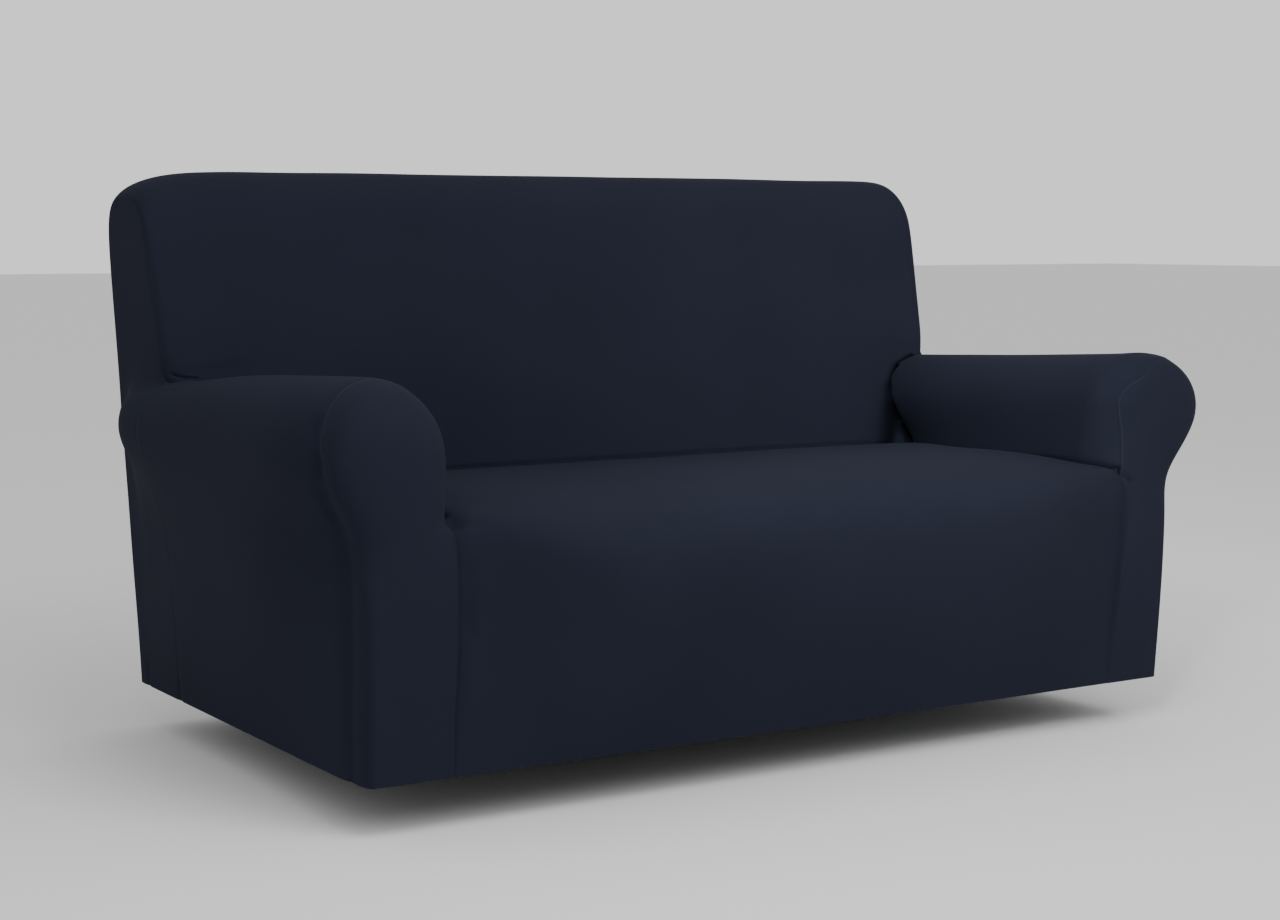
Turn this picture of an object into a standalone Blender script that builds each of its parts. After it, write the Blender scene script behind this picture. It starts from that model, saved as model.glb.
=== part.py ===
"""Stretch slipcover for a two-seat sofa with rolled arms: eight sewn sheets, hollow and open below.

X runs to the right of the front view, Y to the rear and Z up, in metres. Heights in the tables are
above the floor the sofa stands on; "out" is the distance from the middle plane, towards either arm.
The finished cover is moved so that the origin is the point under the back's top that it hangs from.
"""

import math
from collections import namedtuple

import bmesh
import bpy
import numpy as np

# Cloth
SHEET = 0.002
SEAM_INSET = 0.0002
CREASE_INSET = 0.0004
CORNER_INSET = 0.0011
WELD = 0.00001
SMOOTH_SEAM = 0.5
RIM_ANGLE = math.radians(55.0)
CLOTH_COLOUR = (0.0152, 0.0176, 0.0297, 1.0)
CLOTH_ROUGHNESS = 0.95

# Body of the cover
HEM = 0.072
HALF_WIDTH_HEM = 0.721
SIDE_FLARE = 0.0425
FRONT = -0.425
FRONT_DOME = 0.004

# Back
BACK_FACE_AT_SEAT = 0.179
BACK_FACE_SEAT_HEIGHT = 0.41
BACK_FACE_RAKE = 0.2275
REAR_AT_HEM = 0.430
REAR_RAKE = 0.0332
ARCH_START = 0.80
BACK_TOP = 0.900
ARCH_POWER = 2.6
CORNER_OUT_FACE = 0.012
CORNER_OUT_TOP_LEFT = 0.150
CORNER_OUT_TOP_RIGHT = 0.036
FRONT_CORNER_DEPTH = 0.010
REAR_CORNER_DEPTH = 0.009
TOP_CORNER_DROP = 0.042
BACK_PUFF = 0.008
CONTACT_TOP = 0.622
JOIN_RISE = 0.022

# Arms
ARM_FRONT_SEAM = -0.370
LEFT_SEAM_LEAN = 0.022
NECK_BOTTOM = 0.33
NECK_TABLE_HEIGHT = 0.40
ROLL_FADE_START = 0.30
ROLL_FADE_END = 0.413

# Grid divisions
INNER_FACE_STEPS = 3
ROLL_STEPS = 5
OUTER_WALL_STEPS = 9
CAP_STEPS = 2
LEFT_TUBE_STEPS = 10
RIGHT_TUBE_STEPS = 8
CAP_HALF_COLUMNS = 4
GUSSET_COLUMNS = 5
UPPER_FACE_STEPS = 3
ARCH_STEPS = 4
CORNER_STEPS = 3
CONTACT_STEPS = INNER_FACE_STEPS + ROLL_STEPS + 1
LAST_ROW = LEFT_TUBE_STEPS + CAP_STEPS + 4

# Place across the seat and the back, from one edge to the middle
ACROSS = (0.0, 0.010, 0.028, 0.055, 0.095, 0.15, 0.23, 0.32, 0.41, 0.5)

# Sections of each arm, from its front seam to the rear; the roll turns into the wall at "turn" degrees
ARM_COLUMNS = "along centre_out centre_up radius_out radius_up foot_out neck_shift turn"
ArmRow = namedtuple("ArmRow", ARM_COLUMNS)
LEFT_ARM = (
    ArmRow(-0.370, 0.6685, 0.500, 0.0915, 0.111, 0.579, -0.0140, 45.0),
    ArmRow(-0.300, 0.6800, 0.502, 0.0980, 0.108, 0.582, 0.0020, 28.0),
    ArmRow(-0.160, 0.6900, 0.505, 0.0960, 0.099, 0.592, 0.0300, 10.0),
    ArmRow(0.020, 0.7000, 0.503, 0.0890, 0.091, 0.612, 0.0310, 10.0),
    ArmRow(0.200, 0.7150, 0.498, 0.0810, 0.079, 0.638, 0.0220, 16.0),
    ArmRow(0.300, 0.7150, 0.503, 0.0790, 0.073, 0.640, 0.0120, 30.0),
)
RIGHT_ARM = (
    ArmRow(-0.370, 0.7140, 0.514, 0.1120, 0.092, 0.592, 0.0110, 45.0),
    ArmRow(-0.300, 0.7080, 0.511, 0.1080, 0.090, 0.594, 0.0160, 28.0),
    ArmRow(-0.160, 0.7010, 0.504, 0.0990, 0.089, 0.599, 0.0280, 10.0),
    ArmRow(0.020, 0.7040, 0.502, 0.0910, 0.083, 0.614, 0.0300, 10.0),
    ArmRow(0.200, 0.7150, 0.498, 0.0810, 0.079, 0.638, 0.0220, 16.0),
    ArmRow(0.300, 0.7150, 0.503, 0.0790, 0.073, 0.640, 0.0120, 30.0),
)

# Height of the crease between seat and arm
CreaseRow = namedtuple("CreaseRow", "along left_up right_up")
ARM_CREASE = (
    CreaseRow(-0.370, 0.420, 0.424),
    CreaseRow(-0.280, 0.424, 0.426),
    CreaseRow(-0.180, 0.424, 0.420),
    CreaseRow(-0.050, 0.421, 0.411),
    CreaseRow(0.110, 0.418, 0.401),
    CreaseRow(0.200, 0.416, 0.395),
)
SEAT_CREASE_MIDDLE = 0.417

# Seam between an arm panel and the strip behind it, down the outside
StripSeamRow = namedtuple("StripSeamRow", "up along")
STRIP_SEAM = (
    StripSeamRow(0.072, 0.254),
    StripSeamRow(0.130, 0.240),
    StripSeamRow(0.250, 0.222),
    StripSeamRow(0.340, 0.215),
    StripSeamRow(0.440, 0.216),
    StripSeamRow(0.500, 0.213),
    StripSeamRow(0.540, 0.218),
)

# Seam between an arm's front panel and the apron
ApronSeamRow = namedtuple("ApronSeamRow", "up left_out right_out along")
APRON_SEAM = (
    ApronSeamRow(0.072, 0.588, 0.603, -0.424),
    ApronSeamRow(0.180, 0.583, 0.616, -0.421),
    ApronSeamRow(0.310, 0.574, 0.632, -0.418),
    ApronSeamRow(0.412, 0.582, 0.645, -0.417),
)

# How far each front panel's seam lies in from the arm's edge, as a part of the way to its middle
SeamPlace = namedtuple("SeamPlace", "row part")
RIGHT_FRONT_SEAM = (
    SeamPlace(0, 0.43),
    SeamPlace(1, 0.35),
    SeamPlace(2, 0.27),
    SeamPlace(3, 0.21),
    SeamPlace(4, 0.19),
    SeamPlace(5, 0.23),
    SeamPlace(6, 0.30),
    SeamPlace(7, 0.24),
    SeamPlace(8, 0.12),
    SeamPlace(9, 0.04),
    SeamPlace(10, 0.0),
    SeamPlace(30, 0.0),
)

# Section through the middle of the seat and apron, from the back crease to the hem
SeatRow = namedtuple("SeatRow", "row along up")
SEAT_SECTION = (
    SeatRow(0, 0.181, 0.417),
    SeatRow(2, 0.062, 0.429),
    SeatRow(5, -0.135, 0.441),
    SeatRow(8, -0.330, 0.441),
    SeatRow(9, -0.392, 0.434),
    SeatRow(10, -0.441, 0.420),
    SeatRow(11, -0.474, 0.396),
    SeatRow(12, -0.489, 0.362),
    SeatRow(13, -0.487, 0.310),
    SeatRow(14, -0.474, 0.240),
    SeatRow(15, -0.451, 0.156),
    SeatRow(16, -0.425, 0.072),
)
SEAT_EDGE_WIDTH = 0.15
APRON_EDGE_WIDTH = 0.11
PILLOW_POWER = 2.2

# The point under the back's top that the cover hangs from
HANG_ALONG = 0.365
HANG_POINT = np.array((0.0, HANG_ALONG, BACK_TOP - SHEET))


def from_table(rows, column, place):
    """Read one column of a table at a place between its rows, along a smooth curve."""
    places = [row[0] for row in rows]
    values = [getattr(row, column) for row in rows]
    slopes = np.gradient(values, places)
    place = min(max(place, places[0]), places[-1])
    index = min(int(np.searchsorted(places, place, side="right")) - 1, len(rows) - 2)
    span = places[index + 1] - places[index]
    part = (place - places[index]) / span
    start, end = values[index], values[index + 1]
    return hermite(start, end, slopes[index] * span, slopes[index + 1] * span, part)


def hermite(start, end, start_slope, end_slope, part):
    """Cubic between two values with given slopes."""
    square = part * part
    cube = square * part
    rise = 3.0 * square - 2.0 * cube
    leave = cube - 2.0 * square + part
    arrive = cube - square
    return start * (1.0 - rise) + end * rise + start_slope * leave + end_slope * arrive


def mix(start, end, part):
    """Straight line between two values."""
    return start + (end - start) * part


def ease(part):
    """Soft step from 0 to 1."""
    part = min(max(part, 0.0), 1.0)
    return part * part * (3.0 - 2.0 * part)


def dome(part, power):
    """Round shoulder: 0 at the edge, upright there, and 1 with a level end."""
    part = min(max(part, 0.0), 1.0)
    return (1.0 - (1.0 - part) ** power) ** (1.0 / power)


def side_wall(up):
    """Half width of the cover's flat side."""
    return HALF_WIDTH_HEM + SIDE_FLARE * (up - HEM)


def back_face(up):
    """How far to the rear the inside of the back is."""
    return BACK_FACE_AT_SEAT + BACK_FACE_RAKE * (up - BACK_FACE_SEAT_HEIGHT)


def rear_face(up):
    """How far to the rear the outside of the back is."""
    return REAR_AT_HEM + REAR_RAKE * (up - HEM)


def arm_section(arm, along):
    """The roll's centre and radii at one place along the arm."""
    names = ("centre_out", "centre_up", "radius_out", "radius_up")
    return [from_table(arm, name, along) for name in names]


def arm_wall(arm, along, up):
    """Half width of the flat wall under the roll."""
    pull = from_table(arm, "neck_shift", along)
    return side_wall(up) + pull * (up - HEM) / (NECK_TABLE_HEIGHT - HEM)


def arm_outside(arm, along, up):
    """Half width of the arm's outer side, from the roll down to the hem."""
    centre, level, wide, high = arm_section(arm, along)
    turn = math.radians(from_table(arm, "turn", along))
    turn_up = level - high * math.sin(turn)
    if up >= turn_up:
        share = min(max((up - level) / high, -1.0), 1.0)
        return centre + wide * math.sqrt(1.0 - share * share)
    if up <= NECK_BOTTOM:
        return arm_wall(arm, along, up)
    turn_out = centre + wide * math.cos(turn)
    turn_slope = wide / high * math.tan(turn)
    span = turn_up - NECK_BOTTOM
    wall = arm_wall(arm, along, NECK_BOTTOM)
    wall_slope = (wall - HALF_WIDTH_HEM) / (NECK_BOTTOM - HEM)
    part = (up - NECK_BOTTOM) / span
    return hermite(wall, turn_out, wall_slope * span, turn_slope * span, part)


def strip_outside(arm, along, up):
    """Half width of the strip at the end of the back, over the rear of the roll."""
    wall = side_wall(up)
    level, high = arm_section(arm, along)[1::2]
    if up >= level + high:
        return wall
    overhang = max(arm_outside(arm, min(along, ROLL_FADE_START), up) - wall, 0.0)
    fade = (along - ROLL_FADE_START) / (ROLL_FADE_END - ROLL_FADE_START)
    return wall + overhang * (1.0 - ease(fade))


def find_join(arm):
    """Where the roll, the back's face and its side meet: the angle on the roll, and the point."""
    up = 0.57
    for _ in range(20):
        along = back_face(up) + FRONT_CORNER_DEPTH
        centre, level, wide, high = arm_section(arm, along)
        angle = math.acos((side_wall(up) - centre) / wide)
        up = level + high * math.sin(angle)
    return angle, (side_wall(up), back_face(up) + FRONT_CORNER_DEPTH, up)


JOIN_ANGLE, JOIN = find_join(LEFT_ARM)
JOIN_UP = JOIN[2]


def strip_seam(up):
    """How far to the rear the seam down the outside of the arm runs."""
    rows = STRIP_SEAM + (StripSeamRow(JOIN_UP, JOIN[1]),)
    return from_table(rows, "along", up)


class Side:
    """One arm's tables and the edges its panels share with their neighbours."""

    def __init__(self, name, sign, arm, tube_steps, front_seam, seam_lean):
        self.seam_lean = seam_lean
        self.name = name
        self.sign = sign
        self.arm = arm
        self.tube_steps = tube_steps
        self.front_seam = front_seam
        self.low_steps = LAST_ROW - tube_steps - CAP_STEPS
        self.sections = INNER_FACE_STEPS + 2 * ROLL_STEPS + OUTER_WALL_STEPS

    def place(self, out, along, up):
        """A point in the cover's frame."""
        return (self.sign * out, along, up)

    def crease_up(self, along):
        """Height of the crease between this arm and the seat."""
        return from_table(ARM_CREASE, self.name + "_up", along)

    def seam_line(self, step):
        """Where the arm's round front starts: it leans back over the top of the roll."""
        turn = (step - INNER_FACE_STEPS) / (2.0 * ROLL_STEPS)
        if turn <= 0.0 or turn >= 1.0:
            return ARM_FRONT_SEAM
        return ARM_FRONT_SEAM + self.seam_lean * math.sin(math.pi * turn) ** 2

    def section_point(self, step, along):
        """A point of the arm's section: up the inside, over the roll and down the outside."""
        centre, level, wide, high = arm_section(self.arm, along)
        if step <= INNER_FACE_STEPS:
            part = step / INNER_FACE_STEPS
            foot = from_table(self.arm, "foot_out", along)
            return mix(foot, centre - wide, ease(part)), mix(self.crease_up(along), level, part)
        step -= INNER_FACE_STEPS
        if step <= 2 * ROLL_STEPS:
            angle = roll_angle(step)
            return centre + wide * math.cos(angle), level + high * math.sin(angle)
        part = (step - 2 * ROLL_STEPS) / OUTER_WALL_STEPS
        up = mix(level, HEM, part ** 1.25)
        return arm_outside(self.arm, along, up), up

    def rear_end(self, step):
        """How far to the rear the arm panel reaches at one step of its section."""
        along = 0.21
        for _ in range(12):
            out, up = self.section_point(step, along)
            if step > CONTACT_STEPS:
                along = strip_seam(up)
            else:
                inset = max(out - side_wall(up) + CORNER_OUT_FACE, 0.0) / CORNER_OUT_FACE
                turn = 1.0 - math.sqrt(max(1.0 - inset * inset, 0.0))
                along = back_face(up) + FRONT_CORNER_DEPTH * turn
        return along

    def tube_point(self, step, column):
        """A point of the arm panel between the back and the front seam's line."""
        part = column / self.tube_steps
        if self.tube_steps > RIGHT_TUBE_STEPS:
            part = 1.0 - (1.0 - part) ** 1.12
        along = mix(self.rear_end(step), self.seam_line(step), part)
        out, up = self.section_point(step, along)
        return self.place(out, along, up)

    def inner_edge(self, row):
        """The front panel's edge on the seat side, counted in rows from the hem to the roll's top."""
        if row >= OUTER_WALL_STEPS - INNER_FACE_STEPS:
            step = row - (OUTER_WALL_STEPS - INNER_FACE_STEPS)
            along = self.seam_line(step)
            out, up = self.section_point(step, along)
            return out, along, up
        top = self.apron_top()
        if row <= self.low_steps:
            up = mix(HEM, top[2], row / self.low_steps)
            out = from_table(APRON_SEAM, self.name + "_out", up)
            return out, from_table(APRON_SEAM, "along", up), up
        foot = self.section_point(0, ARM_FRONT_SEAM)
        part = (row - self.low_steps) / CAP_STEPS
        along = mix(top[1], ARM_FRONT_SEAM, part)
        return mix(top[0], foot[0], dome(part, 2.0)), along, mix(top[2], foot[1], dome(part, 2.0))

    def apron_top(self):
        """Where the apron seam starts, under the front of the arm's roll."""
        if self.front_seam:
            return self.cap_point(OUTER_WALL_STEPS - INNER_FACE_STEPS, True, self.seam_part(0))
        up = 0.407
        out = from_table(APRON_SEAM, self.name + "_out", up)
        return out, from_table(APRON_SEAM, "along", up), up

    def outer_edge(self, row):
        """The front panel's edge on the outer side, counted in rows from the hem to the roll's top."""
        along = self.seam_line(self.sections - row)
        out, up = self.section_point(self.sections - row, along)
        return out, along, up

    def spine(self, row):
        """The middle of the front panel at one row."""
        if row >= OUTER_WALL_STEPS:
            centre, level = arm_section(self.arm, ARM_FRONT_SEAM)[:2]
            return centre, level
        inner_row = max(row, 0)
        if self.front_seam and row < OUTER_WALL_STEPS - INNER_FACE_STEPS:
            up = mix(HEM, self.crease_up(ARM_FRONT_SEAM), row / self.low_steps)
            inner_out = from_table(APRON_SEAM, self.name + "_out", up)
            inner = (inner_out, 0.0, up)
        else:
            inner = self.inner_edge(inner_row)
        outer = self.outer_edge(row)
        return 0.5 * (inner[0] + outer[0]), 0.5 * (inner[2] + outer[2])

    def cap_point(self, row, inner, part):
        """A point of the arm's front: part 0 is on the edge and 1 on the middle line."""
        edge = self.inner_edge(row) if inner else self.outer_edge(row)
        middle_out, middle_up = self.spine(row)
        power = mix(9.0, 2.5, ease((edge[2] - HEM) / 0.34))
        front = FRONT - FRONT_DOME * ease((middle_up - HEM) / 0.3)
        along = mix(edge[1], front, dome(part, power))
        return mix(edge[0], middle_out, part), along, mix(edge[2], middle_up, part)

    def seam_part(self, step):
        """How far in from the arm's edge the front seam lies at one step of the arm's section."""
        if not self.front_seam:
            return 0.0
        return max(from_table(self.front_seam, "part", step), 0.0)

    def front_point(self, step, part):
        """A point of the arm's front for one step of the arm's section."""
        turn = INNER_FACE_STEPS + ROLL_STEPS
        if step <= turn:
            return self.cap_point(OUTER_WALL_STEPS - INNER_FACE_STEPS + step, True, part)
        return self.cap_point(self.sections - step, False, part)

    def seat_edge(self, row):
        """The seat's side edge: forward along the arm, round the corner and down to the hem."""
        if row <= self.tube_steps:
            return self.tube_point(0, row)
        if self.front_seam and row <= self.tube_steps + CAP_STEPS:
            part = self.seam_part(0) * (row - self.tube_steps) / CAP_STEPS
            return self.place(*self.front_point(0, part))
        low_row = LAST_ROW - row
        return self.place(*self.inner_edge(low_row))


def roll_angle(step):
    """Angle on the roll: from its inner side over the top and the join to its outer side."""
    top = math.pi / 2.0
    if step <= ROLL_STEPS:
        return math.pi - top * step / ROLL_STEPS
    part = (step - ROLL_STEPS - 1) / (ROLL_STEPS - 1)
    return JOIN_ANGLE * (1.0 - part)


LEFT = Side("left", -1.0, LEFT_ARM, LEFT_TUBE_STEPS, (), LEFT_SEAM_LEAN)
RIGHT = Side("right", 1.0, RIGHT_ARM, RIGHT_TUBE_STEPS, RIGHT_FRONT_SEAM, 0.0)


def column_places():
    """Parts of the way across, from the left edge to the right edge."""
    return list(ACROSS) + [1.0 - place for place in reversed(ACROSS[:-1])]


def seat_panel():
    """Seat top and front apron in one grid, pillowed between its edges."""
    grid = []
    for row in range(LAST_ROW + 1):
        left = np.array(LEFT.seat_edge(row))
        right = np.array(RIGHT.seat_edge(row))
        middle_along = from_table(SEAT_SECTION, "along", row)
        middle_up = from_table(SEAT_SECTION, "up", row)
        edge_width = mix(SEAT_EDGE_WIDTH, APRON_EDGE_WIDTH, ease((row - 8.0) / 4.0))
        points = []
        for place in column_places():
            point = mix(left, right, place)
            reach = min(place, 1.0 - place) * (right[0] - left[0]) / edge_width
            rise = dome(reach, PILLOW_POWER)
            point[1] = mix(point[1], middle_along, rise)
            point[2] = mix(point[2], middle_up, rise)
            points.append(tuple(point))
        grid.append(points)
    grid[0] = back_crease()
    return grid


def back_crease():
    """The line where seat and back meet."""
    left = np.array(LEFT.seat_edge(0))
    right = np.array(RIGHT.seat_edge(0))
    points = []
    for place in column_places():
        point = mix(left, right, place)
        rise = dome(min(place, 1.0 - place) / 0.2, PILLOW_POWER)
        up = mix(point[2], SEAT_CREASE_MIDDLE, rise)
        points.append((point[0], back_face(up), up))
    return points


def arch(part, inset_along, drop):
    """The back's rounded top in section: 0 at the front face and 1 at the rear face."""
    angle = math.pi * part
    level = abs(math.cos(angle)) ** (2.0 / ARCH_POWER) * math.copysign(1.0, math.cos(angle))
    height = math.sin(angle) ** (2.0 / ARCH_POWER) if 0.0 < part < 1.0 else 0.0
    middle = 0.5 * (back_face(ARCH_START) + rear_face(ARCH_START))
    half = 0.5 * (rear_face(ARCH_START) - back_face(ARCH_START)) - inset_along
    rise = (BACK_TOP - drop - ARCH_START) * height
    lean = mix(REAR_RAKE, BACK_FACE_RAKE, 0.5 * (1.0 + level))
    return middle - half * level + lean * rise, ARCH_START + rise


def rear_heights():
    """Heights of the rear wall's rows under the arch, down to the hem."""
    upper = [mix(ARCH_START, JOIN_UP, step / UPPER_FACE_STEPS) for step in range(1, UPPER_FACE_STEPS + 1)]
    lower_steps = ROLL_STEPS - 1 + OUTER_WALL_STEPS
    lower = [mix(JOIN_UP, HEM, step / lower_steps) for step in range(1, lower_steps + 1)]
    return upper + lower


def upper_rows():
    """Rows of the back above the join: face point, strip seam point and corner widths of each."""
    rows = []
    for step in range(1, UPPER_FACE_STEPS + 1):
        up = mix(JOIN_UP, ARCH_START, step / UPPER_FACE_STEPS)
        edge = back_face(up) + FRONT_CORNER_DEPTH
        rows.append(((back_face(up), up), (edge, up), (CORNER_OUT_FACE, CORNER_OUT_FACE)))
    inset = 0.5 * (FRONT_CORNER_DEPTH + REAR_CORNER_DEPTH)
    for step in range(1, 2 * ARCH_STEPS + 1):
        part = step / (2.0 * ARCH_STEPS)
        face = arch(part, 0.0, 0.0)
        edge = arch(part, inset, TOP_CORNER_DROP)
        shift = mix(FRONT_CORNER_DEPTH - inset, inset - REAR_CORNER_DEPTH, part)
        round_top = math.sin(math.pi * part)
        left = mix(CORNER_OUT_FACE, CORNER_OUT_TOP_LEFT, round_top)
        corner = left, mix(CORNER_OUT_FACE, CORNER_OUT_TOP_RIGHT, round_top)
        rows.append((face, (edge[0] + shift, edge[1]), corner))
    for up in rear_heights():
        edge = rear_face(up) - REAR_CORNER_DEPTH
        rows.append(((rear_face(up), up), (edge, up), (CORNER_OUT_FACE, CORNER_OUT_FACE)))
    return rows


def back_row(face, edge, corners):
    """Points across the back at one row: flat in the middle and rounded to the strip seams."""
    left_corner, right_corner = corners
    left_flat = side_wall(edge[1]) - left_corner
    right_flat = side_wall(edge[1]) - right_corner
    places = column_places()[CORNER_STEPS:-CORNER_STEPS]
    middle_places = [(place - places[0]) / (places[-1] - places[0]) for place in places]
    points = [(mix(-left_flat, right_flat, place), face[0], face[1]) for place in middle_places]
    for step in range(1, CORNER_STEPS + 1):
        turn = 0.5 * math.pi * step / CORNER_STEPS
        along = mix(face[0], edge[0], 1.0 - math.cos(turn))
        up = mix(face[1], edge[1], 1.0 - math.cos(turn))
        points.insert(0, (-left_flat - left_corner * math.sin(turn), along, up))
        points.append((right_flat + right_corner * math.sin(turn), along, up))
    return points


def contact_row(step):
    """Points across the inside back at one row between the two arms."""
    left = np.array(LEFT.tube_point(step, 0))
    right = np.array(RIGHT.tube_point(step, 0))
    middle_up = mix(SEAT_CREASE_MIDDLE, CONTACT_TOP, step / CONTACT_STEPS)
    points = []
    for place in column_places():
        point = mix(left, right, place)
        edge_place = min(place, 1.0 - place)
        up = mix(point[2], middle_up, dome(edge_place / 0.1, PILLOW_POWER))
        along = back_face(up) if edge_place > 0.0 else point[1]
        points.append((point[0], along, up))
    if step == CONTACT_STEPS:
        for column in range(1, CORNER_STEPS + 1):
            turn = 0.5 * math.pi * (1.0 - column / CORNER_STEPS)
            out = side_wall(JOIN_UP) - CORNER_OUT_FACE * (1.0 - math.sin(turn))
            up = JOIN_UP + JOIN_RISE * column / CORNER_STEPS
            along = back_face(up) + FRONT_CORNER_DEPTH * (1.0 - math.cos(turn))
            points[column] = (-out, along, up)
            points[-1 - column] = (out, along, up)
    return points


def back_panel():
    """Inside of the back, its top and its outside in one grid, from the crease to the hem."""
    grid = [back_crease()]
    for step in range(1, CONTACT_STEPS + 1):
        grid.append(contact_row(step))
    for face, edge, corners in upper_rows():
        grid.append(back_row(face, edge, corners))
    return [[puffed(point) for point in points] for points in grid]


def puffed(point):
    """Push the middle of the inside back gently forward."""
    across, along, up = point
    is_face = abs(along - back_face(up)) < WELD and up < ARCH_START
    if not is_face:
        return point
    swell = dome(0.5 * (0.63 - abs(across)) / 0.3, 2.0) if abs(across) < 0.63 else 0.0
    height = math.sin(math.pi * min(max((up - SEAT_CREASE_MIDDLE) / 0.42, 0.0), 1.0))
    return across, along - BACK_PUFF * swell * height, up


def arm_panel(side):
    """Inside arm, roll and outside arm in one grid, with its turn onto the front where there is one."""
    grid = []
    for step in range(side.sections + 1):
        points = [side.tube_point(step, column) for column in range(side.tube_steps + 1)]
        seam = side.seam_part(step)
        if side.front_seam:
            for column in range(1, CAP_STEPS + 1):
                part = seam * column / CAP_STEPS
                points.append(side.place(*side.front_point(step, part)))
        grid.append(points)
    return grid


def arm_front(side):
    """Domed front panel of the arm: rows cross it from the outer seam to the inner seam."""
    grid = []
    foot_row = OUTER_WALL_STEPS - INNER_FACE_STEPS
    for row in range(OUTER_WALL_STEPS + ROLL_STEPS + 1):
        outer_start = side.seam_part(side.sections - row)
        inner_start = side.seam_part(row - foot_row) if row >= foot_row else 0.0
        points = []
        for column in range(CAP_HALF_COLUMNS + 1):
            part = mix(outer_start, 1.0, spread(column))
            points.append(side.place(*side.cap_point(row, False, part)))
        for column in range(CAP_HALF_COLUMNS - 1, -1, -1):
            part = mix(inner_start, 1.0, spread(column))
            points.append(side.place(*side.cap_point(row, True, part)))
        grid.append(points)
    return grid


def spread(column):
    """Columns of a front panel, closer together on its round edge."""
    return (column / CAP_HALF_COLUMNS) ** 1.8


def back_strip(side):
    """Strip at the end of the back: rows cross it from its front seam to its rear seam."""
    front = []
    for step in range(side.sections, INNER_FACE_STEPS + ROLL_STEPS, -1):
        front.append(side.tube_point(step, 0)[1:])
    upper = [edge for _, edge, _ in upper_rows()]
    top = UPPER_FACE_STEPS + ARCH_STEPS
    front += upper[:top]
    rear = list(reversed(upper[top - 1:]))
    grid = []
    for front_edge, rear_edge in zip(front, rear):
        points = []
        for column in range(GUSSET_COLUMNS + 1):
            part = column / GUSSET_COLUMNS
            along = mix(front_edge[0], rear_edge[0], part)
            up = mix(front_edge[1], rear_edge[1], part)
            points.append(side.place(strip_outside(side.arm, along, up), along, up))
        grid.append(points)
    return grid


def sheet_mesh(grid, outward):
    """Weld a grid into one bare sheet whose faces look away from the sofa."""
    sheet = bmesh.new()
    rows = [[sheet.verts.new(point) for point in points] for points in grid]
    for lower, upper in zip(rows[:-1], rows[1:]):
        for index in range(len(lower) - 1):
            corners = [lower[index], lower[index + 1], upper[index + 1], upper[index]]
            sheet.faces.new(corners if outward else corners[::-1])
    bmesh.ops.remove_doubles(sheet, verts=sheet.verts[:], dist=WELD)
    bmesh.ops.dissolve_degenerate(sheet, edges=sheet.edges[:], dist=WELD)
    bmesh.ops.triangulate(sheet, faces=sheet.faces[:], quad_method="SHORT_EDGE")
    sheet.normal_update()
    sheet.verts.index_update()
    return sheet


def meeting_points(sheets):
    """Edge points of all the sheets, gathered where they meet: sheet, point and direction of each."""
    meeting = {}
    for name, sheet in sheets.items():
        for vert in sheet.verts:
            if vert.is_boundary:
                key = tuple(np.round(np.array(vert.co) / (20.0 * WELD)).astype(int))
                meeting.setdefault(key, []).append((name, vert.index, np.array(vert.normal)))
    return meeting.values()


def seam_settings(sheets):
    """Direction to thicken in and inset of each edge point, so that sheets never cross at a seam."""
    settings = {}
    for group in meeting_points(sheets):
        names = {name for name, _, _ in group}
        for name, index, normal in group:
            alike = [other for _, _, other in group if float(np.dot(normal, other)) > SMOOTH_SEAM]
            total = np.sum(alike, axis=0)
            inset = SEAM_INSET if len(alike) == len(group) else CREASE_INSET
            if len(names) > 2:
                inset = CORNER_INSET
            settings[(name, index)] = total / np.linalg.norm(total), inset
    return settings


def inset_moves(sheet):
    """How each edge point moves in from its seam, along the sheet."""
    moves = {}
    for edge in sheet.edges:
        if not edge.is_boundary:
            continue
        face = edge.link_faces[0]
        inward = edge_inward(edge, face)
        for vert in edge.verts:
            moves.setdefault(vert.index, []).append(inward)
    result = {}
    for index, parts in moves.items():
        total = np.sum(parts, axis=0)
        length = float(np.dot(total, total))
        result[index] = total * (2.0 / max(length, 0.8)) if length else total
    return result


def edge_inward(edge, face):
    """Direction across an edge, into the sheet."""
    start, end = (np.array(vert.co) for vert in edge.verts)
    along = (end - start) / np.linalg.norm(end - start)
    across = np.array(face.calc_center_median()) - start
    across = across - along * float(np.dot(across, along))
    return across / np.linalg.norm(across)


def thicken(name, sheet, settings):
    """Turn a bare sheet into a closed one, SHEET thick, with its edges set in from the seams."""
    moves = inset_moves(sheet)
    outer, inner = [], []
    for vert in sheet.verts:
        normal, inset = settings.get((name, vert.index), (np.array(vert.normal), 0.0))
        point = np.array(vert.co) + moves.get(vert.index, np.zeros(3)) * inset
        outer.append(point)
        inner.append(point - normal * SHEET)
    count = len(outer)
    faces = [tuple(vert.index for vert in face.verts) for face in sheet.faces]
    rims = []
    for edge in sheet.edges:
        if edge.is_boundary:
            loop = edge.link_loops[0]
            rims.append((loop.vert.index, loop.link_loop_next.vert.index))
    solid_faces = list(faces)
    solid_faces += [tuple(index + count for index in reversed(face)) for face in faces]
    solid_faces += [(end, start, start + count, end + count) for start, end in rims]
    points = [tuple(point - HANG_POINT) for point in outer + inner]
    mesh = bpy.data.meshes.new(name)
    mesh.from_pydata(points, [], solid_faces)
    mesh.validate()
    return mesh


def cloth_material(name):
    """Matte stretch knit."""
    material = bpy.data.materials.new(name + "_cloth")
    material.use_nodes = True
    shader = material.node_tree.nodes["Principled BSDF"]
    shader.inputs["Base Color"].default_value = CLOTH_COLOUR
    shader.inputs["Roughness"].default_value = CLOTH_ROUGHNESS
    shader.inputs["Metallic"].default_value = 0.0
    return material


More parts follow.
